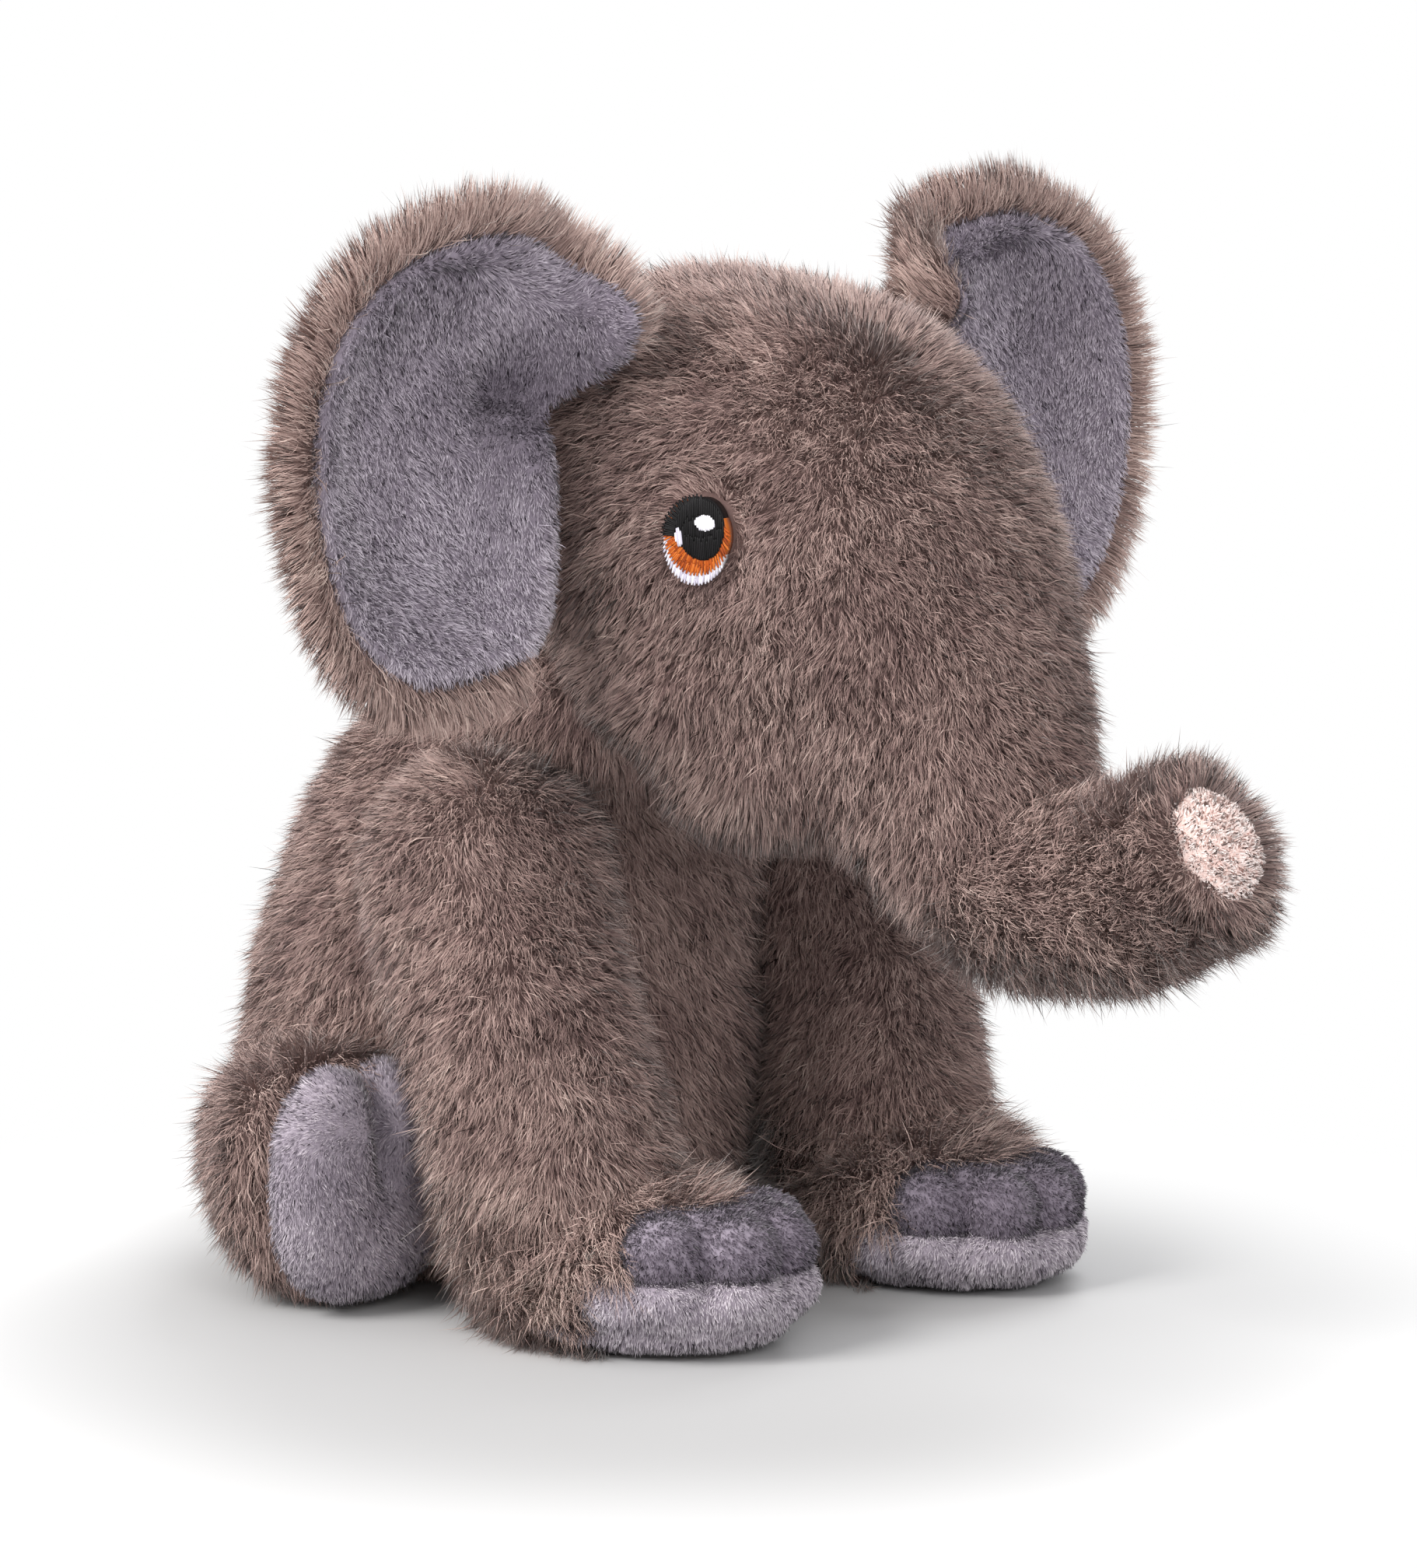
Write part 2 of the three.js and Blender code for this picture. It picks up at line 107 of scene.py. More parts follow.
def camera():
    data = bpy.data.cameras.new("camera")
    data.lens = LENS
    data.clip_start, data.clip_end = 0.05, 20
    ob = link(bpy.data.objects.new("camera", data))
    back = Vector((
        math.sin(AZIMUTH) * math.cos(ELEVATION),
        -math.cos(AZIMUTH) * math.cos(ELEVATION),
        math.sin(ELEVATION),
    ))
    up = back.cross(Vector((0, 0, 1)).cross(back)).normalized()
    aim = Vector(metres(AIM))
    ob.location = aim + back * DISTANCE
    lowered = aim - up * AIM_DROP
    ob.rotation_euler = (lowered - ob.location).to_track_quat("-Z", "Y").to_euler()
    bpy.context.scene.camera = ob


def area_light(name, where, size, watts, colour=(1, 1, 1)):
    data = bpy.data.lights.new(name, "AREA")
    data.shape, data.size, data.energy, data.color = "DISK", size, watts, colour
    ob = link(bpy.data.objects.new(name, data))
    ob.location = where
    ob.rotation_euler = (Vector((0, 0, 0.08)) - Vector(where)).to_track_quat("-Z", "Y").to_euler()


def studio():
    scene = bpy.context.scene
    scene.view_settings.view_transform = "Standard"
    world = bpy.data.worlds.new("studio")
    scene.world = world
    world.use_nodes = True
    nodes, links = world.node_tree.nodes, world.node_tree.links
    nodes["Background"].inputs["Color"].default_value = (1, 1, 1, 1)
    nodes["Background"].inputs["Strength"].default_value = 0.88
    white = nodes.new("ShaderNodeBackground")
    white.inputs["Color"].default_value = (1, 1, 1, 1)
    white.inputs["Strength"].default_value = 1.0
    path = nodes.new("ShaderNodeLightPath")
    mix = nodes.new("ShaderNodeMixShader")
    links.new(path.outputs["Is Camera Ray"], mix.inputs[0])
    links.new(nodes["Background"].outputs[0], mix.inputs[1])
    links.new(white.outputs[0], mix.inputs[2])
    links.new(mix.outputs[0], nodes["World Output"].inputs["Surface"])
    area_light("key", (-1.15, 0.25, 0.95), 0.8, 22, (1, 0.985, 0.965))
    area_light("front", (-0.75, -1.3, 0.85), 0.9, 8, (1, 0.99, 0.98))
    area_light("rim", (0.9, 0.3, 1.0), 0.8, 9, (0.98, 0.99, 1))


def floor():
    """A pale round floor, painted darker grey round the toy as a painted shadow. Away from the toy it
    brightens and glows as painted light, up to the white of the surroundings.
    """
    mesh = bpy.data.meshes.new("floor")
    radius, sides = 3.0, 96
    ring = [(radius * math.cos(2 * math.pi * k / sides), radius * math.sin(2 * math.pi * k / sides), 0)
            for k in range(sides)]
    mesh.from_pydata(ring, [], [tuple(range(sides))])
    ob = link(bpy.data.objects.new("floor", mesh))
    material = bpy.data.materials.new("floor")
    material.use_nodes = True
    nodes, links = material.node_tree.nodes, material.node_tree.links
    shader = nodes["Principled BSDF"]
    shader.inputs["Roughness"].default_value = 0.6
    shader.inputs["Specular IOR Level"].default_value = 0.2
    place = nodes.new("ShaderNodeTexCoord")
    length = nodes.new("ShaderNodeVectorMath")
    length.operation = "LENGTH"
    centred = nodes.new("ShaderNodeVectorMath")
    centred.operation = "ADD"
    # The painted shadow is centred 28 mm towards -X and 16 mm towards -Y from the origin.
    centred.inputs[1].default_value = (0.028, 0.016, 0)
    links.new(place.outputs["Object"], centred.inputs[0])
    links.new(centred.outputs["Vector"], length.inputs[0])
    shadow_to_glow = nodes.new("ShaderNodeMapRange")
    shadow_to_glow.interpolation_type = "SMOOTHERSTEP"
    shadow_to_glow.inputs["From Min"].default_value = 0.07
    shadow_to_glow.inputs["From Max"].default_value = 0.205
    links.new(length.outputs["Value"], shadow_to_glow.inputs["Value"])
    # Painted shadow: the floor's colour is a darker grey near the toy and pale farther out.
    painted_shadow_colour = nodes.new("ShaderNodeMix")
    painted_shadow_colour.data_type = "RGBA"
    painted_shadow_colour.inputs["A"].default_value = (0.5, 0.5, 0.505, 1)
    painted_shadow_colour.inputs["B"].default_value = (0.9, 0.9, 0.9, 1)
    links.new(shadow_to_glow.outputs["Result"], painted_shadow_colour.inputs["Factor"])
    links.new(painted_shadow_colour.outputs["Result"], shader.inputs["Base Color"])
    # Painted light: the floor glows where the painted shadow has faded out.
    painted_glow = nodes.new("ShaderNodeEmission")
    mix = nodes.new("ShaderNodeMixShader")
    links.new(shadow_to_glow.outputs["Result"], mix.inputs[0])
    links.new(shader.outputs[0], mix.inputs[1])
    links.new(painted_glow.outputs[0], mix.inputs[2])
    links.new(mix.outputs[0], nodes["Material Output"].inputs["Surface"])
    mesh.materials.append(material)


# ---------------------------------------------------------------- numbers

def unit(vectors):
    return vectors / np.maximum(np.linalg.norm(vectors, axis=-1, keepdims=True), 1e-9)


def smooth_step(value, low, high):
    t = np.clip((value - low) / (high - low), 0, 1)
    return t * t * (3 - 2 * t)


class Waves:
    """A smooth random field with features of about the given size in mm."""

    def __init__(self, seed, size, count=14):
        rng = np.random.default_rng(seed)
        self.k = unit(rng.normal(size=(count, 3))) * rng.uniform(0.6, 1.5, (count, 1)) * 2 * math.pi / size
        self.phase = rng.uniform(0, 2 * math.pi, count)

    def __call__(self, points):
        return np.sin(points @ self.k.T + self.phase).sum(1) / math.sqrt(len(self.phase) / 2) / 1.6


def vector_waves(seed, size, points):
    return np.stack([Waves(seed + i, size)(points) for i in range(3)], axis=1)


def spline(points, samples, closed=False):
    """A smooth curve through rows of numbers, of any width."""
    p = np.asarray(points, float)
    p = np.vstack([p[-1:], p, p[:2]]) if closed else np.vstack([2 * p[0] - p[1], p, 2 * p[-1] - p[-2]])
    spans = len(p) - 3
    u = np.linspace(0, spans, samples, endpoint=not closed)
    i = np.minimum(u.astype(int), spans - 1)
    t = (u - i)[:, None]
    a, b, c, d = p[i], p[i + 1], p[i + 2], p[i + 3]
    return 0.5 * (2 * b + (c - a) * t + (2 * a - 5 * b + 4 * c - d) * t**2 + (3 * b - a - 3 * c + d) * t**3)


# ---------------------------------------------------------------- closed shapes

def rings_mesh(rings):
    """Points of equal rings, (ring, side, 3), closed at both ends."""
    count, sides = rings.shape[:2]
    index = np.arange(count * sides).reshape(count, sides)
    faces = [
        (int(index[r, k]), int(index[r, (k + 1) % sides]),
         int(index[r + 1, (k + 1) % sides]), int(index[r + 1, k]))
        for r in range(count - 1) for k in range(sides)
    ]
    faces += [tuple(int(i) for i in index[0][::-1]), tuple(int(i) for i in index[-1])]
    return rings.reshape(-1, 3), faces


def loft(stations, caps=(0.6, 0.6), inset=0.0, sides=40, rings=40):
    """A body around a curve. Stations are [x, y, z, half width, half height]."""
    rows = spline(stations, rings)
    centre, size = rows[:, :3], rows[:, 3:5] - inset
    tangent = unit(np.gradient(centre, axis=0))
    steps = np.linspace(math.pi / 2 * 0.98, 0, 8)[:-1]

    def cap(end, way, bulge):
        """Stations that round off one end."""
        return [(centre[end] + way * tangent[end] * bulge * size[end, 0] * math.sin(a),
                 size[end] * math.cos(a), tangent[end]) for a in steps]

    rows = cap(0, -1, caps[0]) + list(zip(centre, size, tangent)) + cap(-1, 1, caps[1])[::-1]
    angle = np.linspace(0, 2 * math.pi, sides, endpoint=False)[:, None]
    made = []
    for middle, (wide, tall), along in rows:
        across = unit(np.cross(along, (1, 0, 0)))
        out = np.cross(across, along)
        made.append(middle + np.cos(angle) * wide * out + np.sin(angle) * tall * across)
    return rings_mesh(np.array(made))


def ball(centre, size, turn=0.0, sides=36, rings=22):
    """An ellipsoid, turned about Z by degrees."""
    polar = np.linspace(0.04, math.pi - 0.04, rings)
    around = np.linspace(0, 2 * math.pi, sides, endpoint=False)
    x = np.sin(polar)[:, None] * np.cos(around)[None] * size[0]
    y = np.sin(polar)[:, None] * np.sin(around)[None] * size[1]
    z = np.cos(polar)[:, None] * np.ones(sides)[None] * size[2]
    c, s = math.cos(math.radians(turn)), math.sin(math.radians(turn))
    made = np.stack([c * x - s * y, s * x + c * y, z], axis=-1) + np.array(centre)
    return rings_mesh(made)


def mirrored(rows, side):
    return [(side * row[0], *row[1:]) for row in rows]


def link(ob):
    bpy.context.scene.collection.objects.link(ob)
    return ob


def joined(shapes):
    """Several meshes as one list of points and faces."""
    points, faces, base = [], [], 0
    for p, f in shapes:
        points.append(p)
        faces += [tuple(i + base for i in face) for face in f]
        base += len(p)
    return np.vstack(points), faces


def points_and_normals(mesh):
    """A mesh's points, in mm, and its smooth normals."""
    co, normal = np.empty(len(mesh.vertices) * 3), np.empty(len(mesh.vertices) * 3)
    mesh.vertices.foreach_get("co", co)
    mesh.vertices.foreach_get("normal", normal)
    return millimetres(co.reshape(-1, 3)), normal.reshape(-1, 3)


def shaped(name, shapes, voxel=1.6, smooth=10, lumps=0.5, lump_size=26, seed=1, bottom=None):
    """One smooth closed skin around overlapping shapes, slightly uneven as a stuffed cloth is."""
    points, faces = joined(shapes)
    mesh = bpy.data.meshes.new(name)
    mesh.from_pydata(metres(points).tolist(), [], faces)
    ob = link(bpy.data.objects.new(name, mesh))
    remesh = ob.modifiers.new("remesh", "REMESH")
    remesh.mode, remesh.voxel_size, remesh.use_smooth_shade = "VOXEL", voxel / 1000, True
    relax = ob.modifiers.new("relax", "SMOOTH")
    relax.factor, relax.iterations = 0.5, smooth
    bpy.context.view_layer.update()
    made = bpy.data.meshes.new_from_object(ob.evaluated_get(bpy.context.evaluated_depsgraph_get()))
    ob.modifiers.clear()
    ob.data = made
    made.name = name
    place, normal = points_and_normals(made)
    place += normal * (lumps * Waves(seed, lump_size)(place))[:, None]
    if bottom is not None:
        place[:, 2] = np.maximum(place[:, 2], bottom)
    made.vertices.foreach_set("co", metres(place).ravel())
    made.update()
    for face in made.polygons:
        face.use_smooth = True
    return ob


class Surface:
    """A skin's points, normals and triangles, in mm."""

    def __init__(self, ob):
        mesh = ob.data
        mesh.calc_loop_triangles()
        corners = np.empty(len(mesh.loop_triangles) * 3, int)
        mesh.loop_triangles.foreach_get("vertices", corners)
        self.points, self.normals = points_and_normals(mesh)
        self.triangles = corners.reshape(-1, 3)
        self.tree = BVHTree.FromPolygons(self.points.tolist(), self.triangles.tolist())

    def depth(self, points):
        """How deep each point lies inside this surface, negative outside."""
        made = np.empty(len(points))
        for i, point in enumerate(points):
            near, normal, _, _ = self.tree.find_nearest(Vector(point))
            made[i] = (near - Vector(point)).dot(normal)
        return made


def exposed(surface, others, deep=5.0):
    """The triangles of a surface that no neighbour buries."""
    open_points = np.ones(len(surface.points), bool)
    for other in others:
        low, high = other.points.min(0), other.points.max(0)
        near = ((surface.points > low) & (surface.points < high)).all(1) & open_points
        which = np.flatnonzero(near)
        open_points[which[other.depth(surface.points[which]) > deep]] = False
    return open_points[surface.triangles].any(1)


# ---------------------------------------------------------------- materials

def linear(code):
    rgb = [int(code[i:i + 2], 16) / 255 for i in (1, 3, 5)]
    return tuple(c / 12.92 if c <= 0.04045 else ((c + 0.055) / 1.055) ** 2.4 for c in rgb) + (1.0,)


def fibre_material(name, colour, roughness=0.85, sheen=0.25):
    material = bpy.data.materials.new(name)
    material.use_nodes = True
    shader = material.node_tree.nodes["Principled BSDF"]
    shader.inputs["Base Color"].default_value = linear(colour)
    shader.inputs["Roughness"].default_value = roughness
    shader.inputs["Specular IOR Level"].default_value = 0.25
    shader.inputs["Sheen Weight"].default_value = sheen
    shader.inputs["Sheen Roughness"].default_value = 0.5
    return material


def tones(name, colours, **look):
    return [fibre_material(f"{name}_{i}", colour, **look) for i, colour in enumerate(colours)]


def cloth_material(name, dark, light, scale=260.0, bump=0.35, roughness=0.9, sheen=0.2):
    """Knitted backing cloth or matted pile: two colours mottled by noise, with a fine uneven surface."""
    material = bpy.data.materials.new(name)
    material.use_nodes = True
    nodes, links = material.node_tree.nodes, material.node_tree.links
    shader = nodes["Principled BSDF"]
    shader.inputs["Roughness"].default_value = roughness
    shader.inputs["Specular IOR Level"].default_value = 0.2
    shader.inputs["Sheen Weight"].default_value = sheen
    place = nodes.new("ShaderNodeTexCoord")
    broad = nodes.new("ShaderNodeTexNoise")
    broad.inputs["Scale"].default_value = scale * 0.25
    broad.inputs["Detail"].default_value = 4
    fine = nodes.new("ShaderNodeTexNoise")
    fine.inputs["Scale"].default_value = scale * 4
    fine.inputs["Detail"].default_value = 3
    ramp = nodes.new("ShaderNodeValToRGB")
    ramp.color_ramp.elements[0].position, ramp.color_ramp.elements[1].position = 0.3, 0.7
    ramp.color_ramp.elements[0].color, ramp.color_ramp.elements[1].color = linear(dark), linear(light)
    height = nodes.new("ShaderNodeBump")
    height.inputs["Strength"].default_value = bump
    height.inputs["Distance"].default_value = 0.0006
    links.new(place.outputs["Object"], broad.inputs["Vector"])
    links.new(place.outputs["Object"], fine.inputs["Vector"])
    links.new(broad.outputs["Fac"], ramp.inputs["Fac"])
    links.new(ramp.outputs["Color"], shader.inputs["Base Color"])
    links.new(fine.outputs["Fac"], height.inputs["Height"])
    links.new(height.outputs["Normal"], shader.inputs["Normal"])
    return material


# ---------------------------------------------------------------- pile

def scatter(surface, density, rng, open_triangles=None):
    """Random roots on a surface, with its smooth normals."""
    triangles = surface.triangles if open_triangles is None else surface.triangles[open_triangles]
    a, b, c = (surface.points[triangles[:, i]] for i in range(3))
    area = np.linalg.norm(np.cross(b - a, c - a), axis=1) / 2
    count = int(area.sum() * density)
    pick = np.sort(rng.choice(len(triangles), count, p=area / area.sum()))
    u, v = np.sqrt(rng.random(count))[:, None], rng.random(count)[:, None]
    weights = (1 - u, u * (1 - v), u * v)
    root = sum(w * p[pick] for w, p in zip(weights, (a, b, c)))
    normal = unit(sum(w * surface.normals[triangles[pick, i]] for i, w in enumerate(weights)))
    return root, normal


def value_of(rule, root, normal):
    return rule(root, normal) if callable(rule) else np.full(len(root), float(rule))


def pile(name, surface, materials, seed, comb, density=8.2, length=5.5, width=0.14, lean=(33, 54, 69),
         tone=2.0, spread=0.26, tuft=3.0, gather=0.28, tone_noise=1.0, curl=0.36,
         open_triangles=None, keep=None):
    """A coat of tapered fibres. Each leans along the comb direction and gathers into small tufts.

    comb, length and tone may be rules of (root, normal). tuft is the area of one tuft in mm2.
    """
    rng = np.random.default_rng(seed)
    root, normal = scatter(surface, density, rng, open_triangles)
    if keep is not None:
        chosen = keep(root, normal)
        root, normal = root[chosen], normal[chosen]
    count = len(root)
    tufts = max(1, int(count / (density * tuft)))
    lead = rng.choice(count, tufts, replace=False)
    tree = kdtree.KDTree(tufts)
    for i, point in enumerate(root[lead]):
        tree.insert(Vector(point), i)
    tree.balance()
    nearest = np.array([tree.find(Vector(point))[1] for point in root])
    of = lead[nearest]

    flow = unit(comb(root, normal))
    upright = np.clip((flow * normal).sum(1, keepdims=True), 0, 1)
    flow = flow + spread * vector_waves(seed + 40, 9.0, root)
    flow = flow + spread * 0.8 * vector_waves(seed + 50, 26.0, root)
    flow = flow - (flow * normal).sum(1, keepdims=True) * normal
    own = unit(unit(flow) + curl * rng.normal(size=(count, 3)))
    long = value_of(length, root, normal) * rng.uniform(0.7, 1.12, count)
    long = (long * rng.uniform(0.85, 1.15, tufts)[nearest])[:, None]
    stray = rng.random(count) < 0.07
    own = unit(own + 0.7 * stray[:, None] * rng.normal(size=(count, 3)))
    long *= 1 + 0.12 * stray[:, None]
    lain = np.array(lean)[None] * np.sqrt(1 - upright**2) * (1 - 0.2 * stray[:, None])
    tilt = np.radians(lain + rng.normal(0, 9, (count, 1)) + rng.normal(0, 8, (tufts, 1))[nearest])
    path = [root]
    for step, share in enumerate((0.38, 0.34, 0.28)):
        a = tilt[:, step:step + 1]
        path.append(path[-1] + long * share * (np.cos(a) * normal + np.sin(a) * own))
    for step, pull in ((1, 0.3), (2, 0.75), (3, 1.0)):
        drawn = (path[step][of] - path[step]) * gather * pull * rng.uniform(0.6, 1.0, (count, 1))
        path[step] = path[step] + drawn
    for step in (1, 2, 3):
        low = FLOOR + 0.5 * rng.random(count) ** 2
        path[step][:, 2] = np.maximum(path[step][:, 2], low)

    along = unit(path[3] - path[0])
    facing = unit(normal + 0.45 * rng.normal(size=(count, 3)))
    across = unit(np.cross(along, facing))
    face_normal = unit(np.cross(across, along))
    face_normal *= np.sign((face_normal * normal).sum(1, keepdims=True) + 1e-9)
    half = width / 2 * rng.uniform(0.75, 1.25, (count, 1))
    middle = (path[1] + path[2]) / 2 + 0.12 * (path[1] + path[2] - path[0] - path[3])
    middle[:, 2] = np.maximum(middle[:, 2], FLOOR)
    rows = [root - across * half, root + across * half]
    rows += [middle - across * half * 0.9, middle + across * half * 0.9, path[3]]
    vertices = np.stack(rows, axis=1).reshape(-1, 3)
    bend = unit(normal * 0.75 + face_normal * 0.35 + along * 0.15)
    normals = np.repeat(bend[:, None], 5, axis=1).reshape(-1, 3)

    varied = 0.4 * rng.normal(size=tufts)[nearest] + 0.6 * rng.normal(size=count)
    varied = varied + 0.45 * Waves(seed + 60, 16.0)(root)
    shade = value_of(tone, root, normal) + stray + tone_noise * varied
    most = len(materials) - 1
    # Each fibre's root part is a step darker and its tip part a step lighter. The darker roots and part of
    # the lighter tips are the pile's own colour; the rest of the tip lightening is painted light, standing in
    # for light shining through the fibre tips.
    shades = np.stack([np.clip(np.round(shade + change), 0, most) for change in (-0.5, 0.65)], axis=1)
    return fibres(name, vertices, normals, shades.astype(np.int32), materials)


def fibres(name, vertices, normals, shades, materials):
    """One mesh of five-point fibres: a root quad and a tip each, with a material for each part."""
    count = len(vertices) // 5
    mesh = bpy.data.meshes.new(name)
    mesh.vertices.add(len(vertices))
    mesh.vertices.foreach_set("co", metres(vertices).astype(np.float32).ravel())
    corner = np.array([0, 1, 3, 2, 2, 3, 4])
    loops = (np.arange(count)[:, None] * 5 + corner).astype(np.int32)
    mesh.loops.add(loops.size)
    mesh.loops.foreach_set("vertex_index", loops.ravel())
    starts = (np.arange(count)[:, None] * 7 + np.array([0, 4])).astype(np.int32)
    mesh.polygons.add(count * 2)
    mesh.polygons.foreach_set("loop_start", starts.ravel())
    for material in materials:
        mesh.materials.append(material)
    mesh.polygons.foreach_set("material_index", shades.ravel())
    mesh.polygons.foreach_set("use_smooth", np.ones(count * 2, bool))
    mesh.update(calc_edges=True)
    mesh.normals_split_custom_set_from_vertices(normals.astype(np.float32))
    return link(bpy.data.objects.new(name, mesh))


def down(root, normal):
    return np.tile((0.0, 0.0, -1.0), (len(root), 1))


# ---------------------------------------------------------------- colours

FUR = tones("fur", ["#5c4745", "#715a57", "#866d69", "#99807a", "#ad938c", "#c0a79f", "#d2bcb2"])
PLUSH = tones("plush", [
    "#544b57", "#665c69", "#786e7b", "#8a808d", "#9c929f", "#aea4b0", "#c0b6c2", "#d2c9d4",
])
SOLE = tones("sole", ["#665c69", "#7a707c", "#8e8490", "#a298a3", "#b5abb5", "#c7bec6", "#d8d0d7"])
PINK = tones("fleece", ["#ffd9d0", "#ffe2da", "#ffe9e3", "#fff0ec", "#fff6f3"])
BLACK = tones("black_thread", ["#070607", "#110f11"], roughness=0.5, sheen=0.0)
ORANGE = tones("orange_thread", ["#8e3c0b", "#b1500f", "#c86a24"], roughness=0.45, sheen=0.05)
WHITE = tones("white_thread", ["#cfcada", "#e6e3ee", "#f7f5fb"], roughness=0.45, sheen=0.1)
FUR_CLOTH = cloth_material("fur_cloth", "#66504d", "#7f6863")
PLUSH_CLOTH = cloth_material("plush_cloth", "#857b88", "#988e9b")
SOLE_CLOTH = cloth_material("sole_cloth", "#958b97", "#aaa0ab")
PINK_CLOTH = cloth_material("fleece_cloth", "#ffe0d8", "#fff0eb")
FILLING = cloth_material("filling", "#dcd8d0", "#f0ede6", scale=120)
PELLETS = cloth_material("pellet_bag", "#b9b3a6", "#d6d0c4", scale=500)


def ready(ob, body, material=None, replaces=()):
    """Puts a piece on its body and the CAD nodes it stands for."""
    if material is not None:
        ob.data.materials.clear()
        ob.data.materials.append(material)
    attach(ob, body)
    if replaces:
        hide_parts(*replaces)


# ---------------------------------------------------------------- skins

def torso_skin():
    return shaped("torso_cloth", [loft(TORSO, (0.3, 0.45), PILE_ROOM)], seed=11, bottom=0.6)


def neck_skin():
    return shaped("neck_cloth", [ball(NECK, (30, 28, 19))], seed=10, lumps=0.3)


def head_skin():
    shapes = [loft(HEAD, (0.62, 0.5), PILE_ROOM)]
    for side in (-1, 1):
        cheek, jowl = mirrored([CHEEK["centre"], JOWL["centre"]], side)
        shapes += [ball(cheek, [r - PILE_ROOM for r in CHEEK["size"]]), ball(jowl, JOWL["size"])]
    return shaped("head_cloth", shapes, seed=12, lumps=0.6, smooth=24)


def trunk_skin():
    shapes = [loft(TRUNK, (0.9, 0.35), PILE_ROOM - 0.9)]
    return shaped("trunk_cloth", shapes, seed=13, voxel=1.2, lumps=0.3, lump_size=14)


def front_leg_skin(label, side):
    x, y, z = FRONT_FOOT["centre"]
    size = [r - PILE_ROOM - 1 for r in FRONT_FOOT["size"]]
    shapes = [
        loft(mirrored(FRONT_LEG, side), (1.0, 0.5), PILE_ROOM),
        ball((side * x, y + 1, z), size, side * FRONT_FOOT["turn"]),
    ]
    return shaped(f"{label}_front_leg_cloth", shapes, seed=14 + side, bottom=0.8, smooth=16)


def hind_leg_skin(label, side):
    shapes = [loft(mirrored(HIND_LEG, side), (1.0, 0.4), PILE_ROOM)]
    return shaped(f"{label}_hind_leg_cloth", shapes, seed=17 + side, bottom=0.8)


def tail_skin():
    stations = [(*p, TAIL_RADIUS - 0.8, TAIL_RADIUS - 0.8) for p in TAIL_PATH]
    shapes = [loft(stations, (0.8, 0.8), sides=16)]
    return shaped("tail_cloth", shapes, voxel=0.6, smooth=3, lumps=0.1, seed=19)


# ---------------------------------------------------------------- feet

def foot_place(side, angle, inset, height):
    """A point inside a front foot's edge, at an angle from straight ahead and that far inside."""
    x, y, _ = FRONT_FOOT["centre"]
    wide, long, _ = FRONT_FOOT["size"]
    turn, a = math.radians(side * FRONT_FOOT["turn"]), math.radians(angle)
    across, ahead = (wide - inset) * math.sin(a), -(long - inset) * math.cos(a)
    c, s = math.cos(turn), math.sin(turn)
    return (side * x + c * across - s * ahead, y + s * across + c * ahead, height)


def toe_row(side, angles, inset, height, size, turned=False):
    """Equal balls in a row round the front of a foot."""
    return [ball(foot_place(side, angle, inset, height), size, angle if turned else 0.0) for angle in angles]


TOES = (-51, -17, 17, 51)
TOE_LIFT = {-1: 4.2, 1: 1.5}     # how far the toes of each side are raised


def above_toes(side):
    """Fur grows everywhere on a foot but where the toe cap and the sole cover it."""
    x, y, _ = FRONT_FOOT["centre"]
    wide, long, _ = FRONT_FOOT["size"]
    turn, lift = math.radians(side * FRONT_FOOT["turn"]), TOE_LIFT[side]

    def keep(root, normal):
        a, b = root[:, 0] - side * x, root[:, 1] - y
        across, ahead = a * math.cos(turn) + b * math.sin(turn), a * math.sin(turn) - b * math.cos(turn)
        angle = np.degrees(np.abs(np.arctan2(across, ahead)))
        reach = np.hypot(across / wide, ahead / long)
        under = (angle < 70) & (root[:, 2] < 8.5 + lift) & (reach > 0.35)
        capped = (angle < 56) & (root[:, 2] < 17 + lift) & (reach > 0.6)
        return ~(under | capped) & (root[:, 2] > 1.2)
    return keep


def toe_cap_skin(label, side):
    lift = TOE_LIFT[side]
    shapes = toe_row(side, TOES, 6.2, 12.8 + lift, (6.9, 7.2, 6.6), turned=True)
    shapes += toe_row(side, range(-51, 52, 17), 9.6, 12.6 + lift, (6.6, 7.2, 7.2))
    return shaped(f"{label}_toe_cap_cloth", shapes, voxel=0.7, smooth=2, lumps=0.1, seed=21)


def front_sole_skin(label, side):
    """The pale underside, which rolls up in four soft toes under the cap."""
    x, y, _ = FRONT_FOOT["centre"]
    lift = TOE_LIFT[side]
    shapes = toe_row(side, TOES, 5.8, 6.4 + lift, (7.4, 7.4, 4.6), turned=True)
    shapes += toe_row(side, (-68, -46, -23, 0, 23, 46, 68), 7.6, 5.8 + lift * 0.8, (8, 8, 5.0))
    shapes += toe_row(side, range(-66, 67, 33), 13, 4.2 + lift * 0.5, (10, 10, 4.2))
    shapes += toe_row(side, range(-66, 67, 33), 11, 4.6 + lift * 0.35, (9, 9, 4.4))
    shapes.append(ball((side * x, y, 3.6), (19.5, 26, 3.4), side * FRONT_FOOT["turn"]))
    return shaped(f"{label}_front_sole_cloth", shapes, voxel=0.7, smooth=3, lumps=0.1, seed=22, bottom=0.3)


